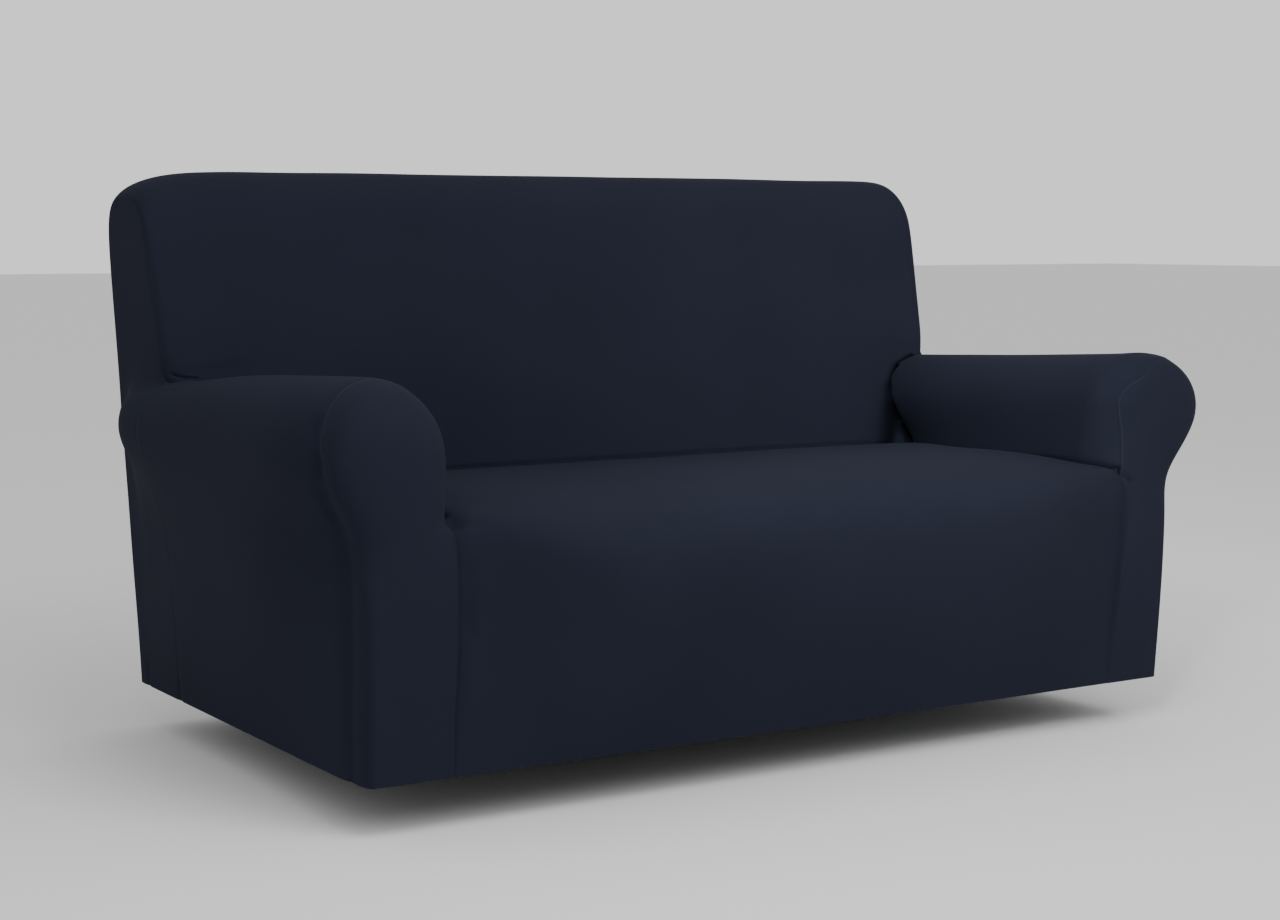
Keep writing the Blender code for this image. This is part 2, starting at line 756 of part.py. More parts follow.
def main():
    """Build the eight sheets."""
    for item in list(bpy.data.objects):
        bpy.data.objects.remove(item, do_unlink=True)
    grids = {
        "back_panel": (back_panel(), True),
        "back_side_left": (back_strip(LEFT), False),
        "back_side_right": (back_strip(RIGHT), True),
        "arm_left": (arm_panel(LEFT), False),
        "arm_right": (arm_panel(RIGHT), True),
        "arm_front_left": (arm_front(LEFT), True),
        "arm_front_right": (arm_front(RIGHT), False),
        "seat_panel": (seat_panel(), False),
    }
    sheets = {name: sheet_mesh(grid, outward) for name, (grid, outward) in grids.items()}
    settings = seam_settings(sheets)
    for name, sheet in sheets.items():
        mesh = thicken(name, sheet, settings)
        mesh.materials.append(cloth_material(name))
        mesh.shade_smooth()
        mesh.set_sharp_from_angle(angle=RIM_ANGLE)
        node = bpy.data.objects.new(name, mesh)
        bpy.context.scene.collection.objects.link(node)
        sheet.free()


main()
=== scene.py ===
"""Sofa slipcover, navy stretch knit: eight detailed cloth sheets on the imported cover's own shell.

The shell is worked out as in the part, in metres: X to the right, Y to the rear and Z above the
floor the sofa stands on. It is joined, smoothed and given its seams, tucks and puckers as one
surface, and then cut back into the eight sewn sheets and moved into the part's frame.
"""

import math
from collections import namedtuple

import bmesh
import bpy
import numpy as np
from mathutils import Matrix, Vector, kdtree, noise


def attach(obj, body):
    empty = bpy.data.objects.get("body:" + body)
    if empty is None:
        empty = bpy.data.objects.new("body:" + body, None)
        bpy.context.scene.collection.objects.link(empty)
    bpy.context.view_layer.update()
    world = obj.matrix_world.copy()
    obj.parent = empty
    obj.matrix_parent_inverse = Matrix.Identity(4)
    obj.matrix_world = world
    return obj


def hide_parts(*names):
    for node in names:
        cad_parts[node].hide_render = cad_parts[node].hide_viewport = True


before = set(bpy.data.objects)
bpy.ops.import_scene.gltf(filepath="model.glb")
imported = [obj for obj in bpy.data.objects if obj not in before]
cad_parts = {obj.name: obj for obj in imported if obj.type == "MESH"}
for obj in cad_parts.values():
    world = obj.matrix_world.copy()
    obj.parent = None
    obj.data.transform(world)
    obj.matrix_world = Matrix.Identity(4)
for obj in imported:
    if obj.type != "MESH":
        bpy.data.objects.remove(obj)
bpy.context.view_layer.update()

# Cloth
SHEET = 0.002
WELD = 0.00001

# Body of the cover
HEM = 0.072
HALF_WIDTH_HEM = 0.721
SIDE_FLARE = 0.0425
FRONT = -0.425
FRONT_DOME = 0.004
FRONT_DOME_HEIGHT = 0.3

# Back
BACK_FACE_AT_SEAT = 0.179
BACK_FACE_SEAT_HEIGHT = 0.41
BACK_FACE_RAKE = 0.2275
REAR_AT_HEM = 0.43
REAR_RAKE = 0.0332
ARCH_START = 0.8
BACK_TOP = 0.9
ARCH_POWER = 2.6
CORNER_OUT_FACE = 0.012
CORNER_OUT_TOP_LEFT = 0.15
CORNER_OUT_TOP_RIGHT = 0.036
FRONT_CORNER_DEPTH = 0.01
REAR_CORNER_DEPTH = 0.009
TOP_CORNER_DROP = 0.042
BACK_PUFF = 0.008
PUFF_REACH = 0.63
PUFF_EDGE = 0.3
PUFF_HEIGHT = 0.42
CONTACT_TOP = 0.622
JOIN_RISE = 0.022
JOIN_GUESS = 0.57
JOIN_ROUNDS = 20
CREASE_CURVE = 0.2
CONTACT_CURVE = 0.1

# Arms
ARM_FRONT_SEAM = -0.37
LEFT_SEAM_LEAN = 0.022
NECK_BOTTOM = 0.33
NECK_TABLE_HEIGHT = 0.4
ROLL_FADE_START = 0.3
ROLL_FADE_END = 0.413
REAR_END_GUESS = 0.21
REAR_END_ROUNDS = 12
WALL_SPACING = 1.25
CAP_SPACING = 1.8
CAP_POWER_AT_HEM = 9.0
CAP_POWER_ABOVE = 2.5
CAP_POWER_HEIGHT = 0.34
LEFT_APRON_TOP = 0.407

# Grid divisions
INNER_FACE_STEPS = 3
ROLL_STEPS = 5
OUTER_WALL_STEPS = 9
CAP_STEPS = 2
CAP_HALF_COLUMNS = 4
GUSSET_COLUMNS = 5
UPPER_FACE_STEPS = 3
ARCH_STEPS = 4
CORNER_STEPS = 3
CONTACT_STEPS = INNER_FACE_STEPS + ROLL_STEPS + 1
FOOT_ROW = OUTER_WALL_STEPS - INNER_FACE_STEPS
LAST_ROW = 16

# Parts of the way along each arm, from the back to the front seam
LEFT_PLACES = (0.0, 0.02, 0.032, 0.085, 0.24, 0.45, 0.66, 0.83, 0.94, 0.985, 1.0)
RIGHT_PLACES = (0.0, 0.016, 0.028, 0.065, 0.28, 0.58, 0.84, 0.965, 1.0)

# How far each arm's rear end rounds away from the inside back, at steps up the arm's section,
# and its share at each column of the grid forward from there
GapRow = namedtuple("GapRow", "step left right")
REAR_GAP = (
    GapRow(0, 0.045, 0.02),
    GapRow(2, 0.045, 0.018),
    GapRow(4, 0.04, 0.01),
    GapRow(6, 0.014, 0.006),
    GapRow(7, 0.004, 0.006),
    GapRow(8, 0.0, 0.006),
    GapRow(9, 0.0, 0.004),
)
GAP_SHAPE = (1.0, 0.97, 0.3, 0.04)

# How far the foot of each arm's inner face tucks in under the roll
UndercutRow = namedtuple("UndercutRow", "along out")
UNDERCUT = (
    UndercutRow(-0.37, 0.0),
    UndercutRow(-0.16, 0.002),
    UndercutRow(0.02, 0.01),
    UndercutRow(0.12, 0.03),
    UndercutRow(0.2, 0.05),
)

# Place across the seat and the back, from one edge to the middle
ACROSS = (0.0, 0.01, 0.028, 0.055, 0.095, 0.15, 0.23, 0.32, 0.41, 0.5)

# Sections of each arm, from its front seam to the rear; the roll turns into the wall at "turn"
# degrees under its middle
ARM_COLUMNS = "along centre_out centre_up radius_out radius_up foot_out neck_shift turn"
ArmRow = namedtuple("ArmRow", ARM_COLUMNS)
LEFT_ARM = (
    ArmRow(-0.37, 0.6685, 0.5, 0.0915, 0.111, 0.579, -0.014, 45.0),
    ArmRow(-0.3, 0.68, 0.502, 0.098, 0.108, 0.582, 0.002, 28.0),
    ArmRow(-0.16, 0.69, 0.505, 0.096, 0.099, 0.592, 0.03, 10.0),
    ArmRow(0.02, 0.7, 0.503, 0.089, 0.091, 0.612, 0.031, 10.0),
    ArmRow(0.2, 0.715, 0.498, 0.081, 0.079, 0.638, 0.022, 16.0),
    ArmRow(0.3, 0.715, 0.503, 0.079, 0.073, 0.64, 0.012, 30.0),
)
RIGHT_ARM = (
    ArmRow(-0.37, 0.714, 0.514, 0.112, 0.092, 0.592, 0.011, 45.0),
    ArmRow(-0.3, 0.708, 0.511, 0.108, 0.09, 0.594, 0.016, 28.0),
    ArmRow(-0.16, 0.701, 0.504, 0.099, 0.089, 0.599, 0.028, 10.0),
    ArmRow(0.02, 0.704, 0.502, 0.091, 0.083, 0.614, 0.03, 10.0),
    ArmRow(0.2, 0.715, 0.498, 0.081, 0.079, 0.638, 0.022, 16.0),
    ArmRow(0.3, 0.715, 0.503, 0.079, 0.073, 0.64, 0.012, 30.0),
)

# Height of the crease between seat and arm
CreaseRow = namedtuple("CreaseRow", "along left_up right_up")
ARM_CREASE = (
    CreaseRow(-0.37, 0.42, 0.424),
    CreaseRow(-0.28, 0.424, 0.426),
    CreaseRow(-0.18, 0.424, 0.42),
    CreaseRow(-0.05, 0.421, 0.411),
    CreaseRow(0.11, 0.418, 0.401),
    CreaseRow(0.2, 0.416, 0.395),
)
SEAT_CREASE_MIDDLE = 0.417

# Seam between an arm panel and the strip behind it, down the outside
StripSeamRow = namedtuple("StripSeamRow", "up along")
STRIP_SEAM = (
    StripSeamRow(0.072, 0.254),
    StripSeamRow(0.13, 0.24),
    StripSeamRow(0.25, 0.222),
    StripSeamRow(0.34, 0.215),
    StripSeamRow(0.44, 0.216),
    StripSeamRow(0.5, 0.213),
    StripSeamRow(0.54, 0.218),
)

# Seam between an arm's front panel and the apron
ApronSeamRow = namedtuple("ApronSeamRow", "up left_out right_out along")
APRON_SEAM = (
    ApronSeamRow(0.072, 0.588, 0.603, -0.424),
    ApronSeamRow(0.18, 0.583, 0.616, -0.421),
    ApronSeamRow(0.31, 0.574, 0.632, -0.418),
    ApronSeamRow(0.412, 0.582, 0.645, -0.417),
)

# How far each front panel's seam lies in from the arm's edge, as a part of the way to its middle
SeamPlace = namedtuple("SeamPlace", "row part")
RIGHT_FRONT_SEAM = (
    SeamPlace(0, 0.43),
    SeamPlace(1, 0.35),
    SeamPlace(2, 0.27),
    SeamPlace(3, 0.21),
    SeamPlace(4, 0.19),
    SeamPlace(5, 0.23),
    SeamPlace(6, 0.3),
    SeamPlace(7, 0.24),
    SeamPlace(8, 0.12),
    SeamPlace(9, 0.04),
    SeamPlace(10, 0.0),
    SeamPlace(30, 0.0),
)

# Section through the middle of the seat and apron, from the back crease to the hem
SeatRow = namedtuple("SeatRow", "row along up")
SEAT_SECTION = (
    SeatRow(0, 0.181, 0.417),
    SeatRow(2, 0.062, 0.429),
    SeatRow(5, -0.135, 0.441),
    SeatRow(8, -0.33, 0.441),
    SeatRow(9, -0.392, 0.434),
    SeatRow(10, -0.441, 0.42),
    SeatRow(11, -0.474, 0.396),
    SeatRow(12, -0.489, 0.362),
    SeatRow(13, -0.487, 0.31),
    SeatRow(14, -0.474, 0.24),
    SeatRow(15, -0.451, 0.156),
    SeatRow(16, -0.425, 0.072),
)
SEAT_EDGE_WIDTH = 0.15
APRON_EDGE_WIDTH = 0.11
APRON_EDGE_START = 8.0
APRON_EDGE_ROWS = 4.0
PILLOW_POWER = 2.2
SEAT_SLOPE_WIDTH = 0.13
SEAT_SLOPE_ROW = 9.0
SEAT_SLOPE_ROWS = 2.0
APRON_START = 9.5
APRON_TURN = 2.5
RIGHT_APRON_BLEND = 0.16
LEFT_APRON_BLEND = 0.08
LEFT_APRON_FLAT = 0.8

# The point under the back's top that the cover hangs from
HANG_ALONG = 0.365
HANG_POINT = np.array((0.0, HANG_ALONG, BACK_TOP - SHEET))


def from_table(rows, column, place):
    """Read one column of a table at a place between its rows, along a smooth curve."""
    places = [row[0] for row in rows]
    values = [getattr(row, column) for row in rows]
    slopes = np.gradient(values, places)
    place = min(max(place, places[0]), places[-1])
    index = min(int(np.searchsorted(places, place, side="right")) - 1, len(rows) - 2)
    span = places[index + 1] - places[index]
    part = (place - places[index]) / span
    start, end = values[index], values[index + 1]
    return hermite(start, end, slopes[index] * span, slopes[index + 1] * span, part)


def hermite(start, end, start_slope, end_slope, part):
    """Cubic between two values with given slopes."""
    square = part * part
    cube = square * part
    rise = 3.0 * square - 2.0 * cube
    leave = cube - 2.0 * square + part
    arrive = cube - square
    return start * (1.0 - rise) + end * rise + start_slope * leave + end_slope * arrive


def mix(start, end, part):
    """Straight line between two values."""
    return start + (end - start) * part


def ease(part):
    """Soft step from 0 to 1."""
    part = min(max(part, 0.0), 1.0)
    return part * part * (3.0 - 2.0 * part)


def dome(part, power):
    """Round shoulder: 0 at the edge, upright there, and 1 with a level end."""
    part = min(max(part, 0.0), 1.0)
    return (1.0 - (1.0 - part) ** power) ** (1.0 / power)


def side_wall(up):
    """Half width of the cover's flat side."""
    return HALF_WIDTH_HEM + SIDE_FLARE * (up - HEM)


def back_face(up):
    """How far to the rear the inside of the back is."""
    return BACK_FACE_AT_SEAT + BACK_FACE_RAKE * (up - BACK_FACE_SEAT_HEIGHT)


def rear_face(up):
    """How far to the rear the outside of the back is."""
    return REAR_AT_HEM + REAR_RAKE * (up - HEM)


def arm_section(arm, along):
    """The roll's centre and radii at one place along the arm."""
    names = ("centre_out", "centre_up", "radius_out", "radius_up")
    return [from_table(arm, name, along) for name in names]


def arm_wall(arm, along, up):
    """Half width of the flat wall under the roll."""
    pull = from_table(arm, "neck_shift", along)
    return side_wall(up) + pull * (up - HEM) / (NECK_TABLE_HEIGHT - HEM)


def arm_outside(arm, along, up):
    """Half width of the arm's outer side, from the roll down to the hem."""
    centre, level, wide, high = arm_section(arm, along)
    turn = math.radians(from_table(arm, "turn", along))
    turn_up = level - high * math.sin(turn)
    if up >= turn_up:
        share = min(max((up - level) / high, -1.0), 1.0)
        return centre + wide * math.sqrt(1.0 - share * share)
    if up <= NECK_BOTTOM:
        return arm_wall(arm, along, up)
    turn_out = centre + wide * math.cos(turn)
    turn_slope = wide / high * math.tan(turn)
    span = turn_up - NECK_BOTTOM
    wall = arm_wall(arm, along, NECK_BOTTOM)
    wall_slope = (wall - HALF_WIDTH_HEM) / (NECK_BOTTOM - HEM)
    part = (up - NECK_BOTTOM) / span
    return hermite(wall, turn_out, wall_slope * span, turn_slope * span, part)


def strip_outside(arm, along, up):
    """Half width of the strip at the end of the back, over the rear of the roll."""
    wall = side_wall(up)
    level, high = arm_section(arm, along)[1::2]
    if up >= level + high:
        return wall
    overhang = max(arm_outside(arm, min(along, ROLL_FADE_START), up) - wall, 0.0)
    fade = (along - ROLL_FADE_START) / (ROLL_FADE_END - ROLL_FADE_START)
    return wall + overhang * (1.0 - ease(fade))


def find_join(arm):
    """Where the roll, the back's face and its side meet: the angle on the roll, and the point."""
    up = JOIN_GUESS
    for _ in range(JOIN_ROUNDS):
        along = back_face(up) + FRONT_CORNER_DEPTH
        centre, level, wide, high = arm_section(arm, along)
        angle = math.acos((side_wall(up) - centre) / wide)
        up = level + high * math.sin(angle)
    return angle, (side_wall(up), back_face(up) + FRONT_CORNER_DEPTH, up)


JOIN_ANGLE, JOIN = find_join(LEFT_ARM)
JOIN_UP = JOIN[2]


def strip_seam(up):
    """How far to the rear the seam down the outside of the arm runs."""
    rows = STRIP_SEAM + (StripSeamRow(JOIN_UP, JOIN[1]),)
    return from_table(rows, "along", up)


class Side:
    """One arm's tables and the edges its panels share with their neighbours."""

    def __init__(self, name, sign, arm, places, front_seam, seam_lean):
        self.name = name
        self.sign = sign
        self.arm = arm
        self.places = places
        self.tube_steps = len(places) - 1
        self.front_seam = front_seam
        self.seam_lean = seam_lean
        self.low_steps = LAST_ROW - self.tube_steps - CAP_STEPS
        self.sections = INNER_FACE_STEPS + 2 * ROLL_STEPS + OUTER_WALL_STEPS

    def place(self, out, along, up):
        """A point in the cover's frame."""
        return (self.sign * out, along, up)

    def crease_up(self, along):
        """Height of the crease between this arm and the seat."""
        return from_table(ARM_CREASE, self.name + "_up", along)

    def seam_line(self, step):
        """Where the arm's round front starts: it leans back over the top of the roll."""
        turn = (step - INNER_FACE_STEPS) / (2.0 * ROLL_STEPS)
        if turn <= 0.0 or turn >= 1.0:
            return ARM_FRONT_SEAM
        return ARM_FRONT_SEAM + self.seam_lean * math.sin(math.pi * turn) ** 2

    def section_point(self, step, along):
        """A point of the arm's section: up the inside, over the roll and down the outside."""
        centre, level, wide, high = arm_section(self.arm, along)
        if step <= INNER_FACE_STEPS:
            part = step / INNER_FACE_STEPS
            foot = from_table(self.arm, "foot_out", along) + from_table(UNDERCUT, "out", along)
            return mix(foot, centre - wide, ease(part)), mix(self.crease_up(along), level, part)
        step -= INNER_FACE_STEPS
        if step <= 2 * ROLL_STEPS:
            angle = roll_angle(step)
            return centre + wide * math.cos(angle), level + high * math.sin(angle)
        part = (step - 2 * ROLL_STEPS) / OUTER_WALL_STEPS
        up = mix(level, HEM, part ** WALL_SPACING)
        return arm_outside(self.arm, along, up), up

    def rear_end(self, step):
        """How far to the rear the arm panel reaches at one step of its section."""
        along = REAR_END_GUESS
        for _ in range(REAR_END_ROUNDS):
            out, up = self.section_point(step, along)
            if step > CONTACT_STEPS:
                along = strip_seam(up)
            else:
                along = back_face(up) + self.corner_turn(out, up)
        return along

    def tube_point(self, step, column):
        """A point of the arm panel between the back and the front seam's line."""
        rear = self.rear_end(step)
        along = mix(rear, self.seam_line(step), self.places[column])
        out, up = self.section_point(step, along)
        if step < CONTACT_STEPS:
            out, up = self.turned_away(step, column, out, up)
            if column == 0:
                along = back_face(up) + self.corner_turn(out, up)
        return self.place(out, along, up)

    def corner_turn(self, out, up):
        """How far the back's face has turned to the rear where it nears its side."""
        inset = max(out - side_wall(up) + CORNER_OUT_FACE, 0.0) / CORNER_OUT_FACE
        return FRONT_CORNER_DEPTH * (1.0 - math.sqrt(max(1.0 - inset * inset, 0.0)))

    def turned_away(self, step, column, out, up):
        """Round the arm's rear end away from the back, into its own section."""
        share = GAP_SHAPE[column] if column < len(GAP_SHAPE) else 0.0
        depth = from_table(REAR_GAP, self.name, step) * share
        angle = math.pi if step <= INNER_FACE_STEPS else roll_angle(step - INNER_FACE_STEPS)
        return out - depth * math.cos(angle), up - depth * math.sin(angle)

    def inner_edge(self, row):
        """The front panel's edge on the seat side, in rows from the hem to the roll's top."""
        if row >= FOOT_ROW:
            return self.seam_point(row - FOOT_ROW)
        top = self.apron_top()
        if row <= self.low_steps:
            return self.apron_point(mix(HEM, top[2], row / self.low_steps))
        foot = self.section_point(0, ARM_FRONT_SEAM)
        part = (row - self.low_steps) / CAP_STEPS
        along = mix(top[1], ARM_FRONT_SEAM, part)
        return mix(top[0], foot[0], dome(part, 2.0)), along, mix(top[2], foot[1], dome(part, 2.0))

    def apron_top(self):
        """Where the apron seam starts, under the front of the arm's roll."""
        if self.front_seam:
            return self.cap_point(FOOT_ROW, True, self.seam_part(0))
        return self.apron_point(LEFT_APRON_TOP)

    def apron_point(self, up):
        """A point of the seam between the apron and the front panel."""
        out = from_table(APRON_SEAM, self.name + "_out", up)
        return out, from_table(APRON_SEAM, "along", up), up

    def seam_point(self, step):
        """A point of the arm's section where its round front starts."""
        along = self.seam_line(step)
        out, up = self.section_point(step, along)
        return out, along, up

    def outer_edge(self, row):
        """The front panel's edge on the outer side, in rows from the hem to the roll's top."""
        return self.seam_point(self.sections - row)

    def spine(self, row):
        """The middle of the front panel at one row."""
        if row >= OUTER_WALL_STEPS:
            centre, level = arm_section(self.arm, ARM_FRONT_SEAM)[:2]
            return centre, level
        if self.front_seam and row < FOOT_ROW:
            up = mix(HEM, self.crease_up(ARM_FRONT_SEAM), row / self.low_steps)
            inner = self.apron_point(up)
        else:
            inner = self.inner_edge(row)
        outer = self.outer_edge(row)
        return 0.5 * (inner[0] + outer[0]), 0.5 * (inner[2] + outer[2])

    def cap_point(self, row, inner, part):
        """A point of the arm's front: part 0 is on the edge and 1 on the middle line."""
        edge = self.inner_edge(row) if inner else self.outer_edge(row)
        middle_out, middle_up = self.spine(row)
        height = ease((edge[2] - HEM) / CAP_POWER_HEIGHT)
        power = mix(CAP_POWER_AT_HEM, CAP_POWER_ABOVE, height)
        front = FRONT - FRONT_DOME * ease((middle_up - HEM) / FRONT_DOME_HEIGHT)
        along = mix(edge[1], front, dome(part, power))
        return mix(edge[0], middle_out, part), along, mix(edge[2], middle_up, part)

    def seam_part(self, step):
        """How far in from the arm's edge the front seam lies at one step of the arm's section."""
        if not self.front_seam:
            return 0.0
        return max(from_table(self.front_seam, "part", step), 0.0)

    def front_point(self, step, part):
        """A point of the arm's front for one step of the arm's section."""
        turn = INNER_FACE_STEPS + ROLL_STEPS
        if step <= turn:
            return self.cap_point(FOOT_ROW + step, True, part)
        return self.cap_point(self.sections - step, False, part)

    def seat_edge(self, row):
        """The seat's side edge: forward along the arm, round the corner and down to the hem."""
        if row <= self.tube_steps:
            return self.tube_point(0, row)
        if self.front_seam and row <= self.tube_steps + CAP_STEPS:
            part = self.seam_part(0) * (row - self.tube_steps) / CAP_STEPS
            return self.place(*self.front_point(0, part))
        return self.place(*self.inner_edge(LAST_ROW - row))


def roll_angle(step):
    """Angle on the roll: from its inner side over the top and the join to its outer side."""
    top = math.pi / 2.0
    if step <= ROLL_STEPS:
        return math.pi - top * step / ROLL_STEPS
    part = (step - ROLL_STEPS - 1) / (ROLL_STEPS - 1)
    return JOIN_ANGLE * (1.0 - part)


LEFT = Side("left", -1.0, LEFT_ARM, LEFT_PLACES, (), LEFT_SEAM_LEAN)
RIGHT = Side("right", 1.0, RIGHT_ARM, RIGHT_PLACES, RIGHT_FRONT_SEAM, 0.0)


def column_places():
    """Parts of the way across, from the left edge to the right edge."""
    return list(ACROSS) + [1.0 - place for place in reversed(ACROSS[:-1])]


def seat_panel():
    """Seat top and front apron in one grid, pillowed between its edges."""
    grid = []
    for row in range(LAST_ROW + 1):
        left = np.array(LEFT.seat_edge(row))
        right = np.array(RIGHT.seat_edge(row))
        middle_along = from_table(SEAT_SECTION, "along", row)
        middle_up = from_table(SEAT_SECTION, "up", row)
        turned = ease((row - APRON_EDGE_START) / APRON_EDGE_ROWS)
        edge_width = mix(SEAT_EDGE_WIDTH, APRON_EDGE_WIDTH, turned)
        slope = SEAT_SLOPE_WIDTH * math.exp(-(((row - SEAT_SLOPE_ROW) / SEAT_SLOPE_ROWS) ** 2))
        low = ease((row - APRON_START) / APRON_TURN)
        points = []
        for place in column_places():
            point = mix(left, right, place)
            if place > 0.5:
                width, flat = edge_width + slope + RIGHT_APRON_BLEND * low, low
            else:
                width, flat = edge_width + LEFT_APRON_BLEND * low, LEFT_APRON_FLAT * low
            reach = min(place, 1.0 - place) * (right[0] - left[0]) / width
            rise = mix(dome(reach, PILLOW_POWER), ease(reach), flat)
            point[1] = mix(point[1], middle_along, rise)
            point[2] = mix(point[2], middle_up, rise)
            points.append(tuple(point))
        grid.append(points)
    grid[0] = back_crease()
    return grid


def back_crease():
    """The line where seat and back meet."""
    left = np.array(LEFT.seat_edge(0))
    right = np.array(RIGHT.seat_edge(0))
    points = []
    for place in column_places():
        point = mix(left, right, place)
        rise = dome(min(place, 1.0 - place) / CREASE_CURVE, PILLOW_POWER)
        up = mix(point[2], SEAT_CREASE_MIDDLE, rise)
        points.append((point[0], back_face(up), up))
    return points


def arch(part, inset_along, drop):
    """The back's rounded top in section: 0 at the front face and 1 at the rear face."""
    angle = math.pi * part
    level = abs(math.cos(angle)) ** (2.0 / ARCH_POWER) * math.copysign(1.0, math.cos(angle))
    height = math.sin(angle) ** (2.0 / ARCH_POWER) if 0.0 < part < 1.0 else 0.0
    middle = 0.5 * (back_face(ARCH_START) + rear_face(ARCH_START))
    half = 0.5 * (rear_face(ARCH_START) - back_face(ARCH_START)) - inset_along
    rise = (BACK_TOP - drop - ARCH_START) * height
    lean = mix(REAR_RAKE, BACK_FACE_RAKE, 0.5 * (1.0 + level))
    return middle - half * level + lean * rise, ARCH_START + rise


def rear_heights():
    """Heights of the rear wall's rows under the arch, down to the hem."""
    heights = []
    lower_steps = ROLL_STEPS - 1 + OUTER_WALL_STEPS
    for top, foot, steps in ((ARCH_START, JOIN_UP, UPPER_FACE_STEPS), (JOIN_UP, HEM, lower_steps)):
        heights += [mix(top, foot, step / steps) for step in range(1, steps + 1)]
    return heights


def upper_rows():
    """Rows of the back above the join: face point, strip seam point and corner widths of each."""
    rows = []
    for step in range(1, UPPER_FACE_STEPS + 1):
        up = mix(JOIN_UP, ARCH_START, step / UPPER_FACE_STEPS)
        edge = back_face(up) + FRONT_CORNER_DEPTH
        rows.append(((back_face(up), up), (edge, up), (CORNER_OUT_FACE, CORNER_OUT_FACE)))
    inset = 0.5 * (FRONT_CORNER_DEPTH + REAR_CORNER_DEPTH)
    for step in range(1, 2 * ARCH_STEPS + 1):
        part = step / (2.0 * ARCH_STEPS)
        face = arch(part, 0.0, 0.0)
        edge = arch(part, inset, TOP_CORNER_DROP)
        shift = mix(FRONT_CORNER_DEPTH - inset, inset - REAR_CORNER_DEPTH, part)
        round_top = math.sin(math.pi * part)
        left = mix(CORNER_OUT_FACE, CORNER_OUT_TOP_LEFT, round_top)
        corner = left, mix(CORNER_OUT_FACE, CORNER_OUT_TOP_RIGHT, round_top)
        rows.append((face, (edge[0] + shift, edge[1]), corner))
    for up in rear_heights():
        edge = rear_face(up) - REAR_CORNER_DEPTH
        rows.append(((rear_face(up), up), (edge, up), (CORNER_OUT_FACE, CORNER_OUT_FACE)))
    return rows


def back_row(face, edge, corners):
    """Points across the back at one row: flat in the middle and rounded to the strip seams."""
    left_corner, right_corner = corners
    left_flat = side_wall(edge[1]) - left_corner
    right_flat = side_wall(edge[1]) - right_corner
    places = column_places()[CORNER_STEPS:-CORNER_STEPS]
    middle_places = [(place - places[0]) / (places[-1] - places[0]) for place in places]
    points = [(mix(-left_flat, right_flat, place), face[0], face[1]) for place in middle_places]
    for step in range(1, CORNER_STEPS + 1):
        turn = 0.5 * math.pi * step / CORNER_STEPS
        along = mix(face[0], edge[0], 1.0 - math.cos(turn))
        up = mix(face[1], edge[1], 1.0 - math.cos(turn))
        points.insert(0, (-left_flat - left_corner * math.sin(turn), along, up))
        points.append((right_flat + right_corner * math.sin(turn), along, up))
    return points


def contact_row(step):
    """Points across the inside back at one row between the two arms."""
    left = np.array(LEFT.tube_point(step, 0))
    right = np.array(RIGHT.tube_point(step, 0))
    middle_up = mix(SEAT_CREASE_MIDDLE, CONTACT_TOP, step / CONTACT_STEPS)
    points = []
    for place in column_places():
        point = mix(left, right, place)
        edge_place = min(place, 1.0 - place)
        up = mix(point[2], middle_up, dome(edge_place / CONTACT_CURVE, PILLOW_POWER))
        along = back_face(up) if edge_place > 0.0 else point[1]
        points.append((point[0], along, up))
    if step == CONTACT_STEPS:
        for column in range(1, CORNER_STEPS + 1):
            turn = 0.5 * math.pi * (1.0 - column / CORNER_STEPS)
            out = side_wall(JOIN_UP) - CORNER_OUT_FACE * (1.0 - math.sin(turn))
            up = JOIN_UP + JOIN_RISE * column / CORNER_STEPS
            along = back_face(up) + FRONT_CORNER_DEPTH * (1.0 - math.cos(turn))
            points[column] = (-out, along, up)
            points[-1 - column] = (out, along, up)
    return points


def back_panel():
    """Inside of the back, its top and its outside in one grid, from the crease to the hem."""
    grid = [back_crease()]
    grid += [contact_row(step) for step in range(1, CONTACT_STEPS + 1)]
    grid += [back_row(*row) for row in upper_rows()]
    return [[puffed(point) for point in points] for points in grid]


def puffed(point):
    """Push the middle of the inside back gently forward."""
    across, along, up = point
    is_face = abs(along - back_face(up)) < WELD and up < ARCH_START
    if not is_face:
        return point
    swell = dome(0.5 * (PUFF_REACH - abs(across)) / PUFF_EDGE, 2.0)
    height = math.sin(math.pi * min(max((up - SEAT_CREASE_MIDDLE) / PUFF_HEIGHT, 0.0), 1.0))
    return across, along - BACK_PUFF * swell * height, up


def arm_panel(side):
    """Inside arm, roll and outside arm in one grid, with its turn onto the front, if any."""
    grid = []
    for step in range(side.sections + 1):
        points = [side.tube_point(step, column) for column in range(side.tube_steps + 1)]
        seam = side.seam_part(step)
        if side.front_seam:
            for column in range(1, CAP_STEPS + 1):
                part = seam * column / CAP_STEPS
                points.append(side.place(*side.front_point(step, part)))
        grid.append(points)
    return grid


def arm_front(side):
    """Domed front panel of the arm: rows cross it from the outer seam to the inner seam."""
    grid = []
    columns = range(CAP_HALF_COLUMNS + 1)
    for row in range(OUTER_WALL_STEPS + ROLL_STEPS + 1):
        outer_start = side.seam_part(side.sections - row)
        inner_start = side.seam_part(row - FOOT_ROW) if row >= FOOT_ROW else 0.0
        halves = ((False, outer_start, columns), (True, inner_start, columns[-2::-1]))
        points = []
        for inner, start, places in halves:
            for column in places:
                part = mix(start, 1.0, spread(column))
                points.append(side.place(*side.cap_point(row, inner, part)))
        grid.append(points)
    return grid


def spread(column):
    """Columns of a front panel, closer together on its round edge."""
    return (column / CAP_HALF_COLUMNS) ** CAP_SPACING


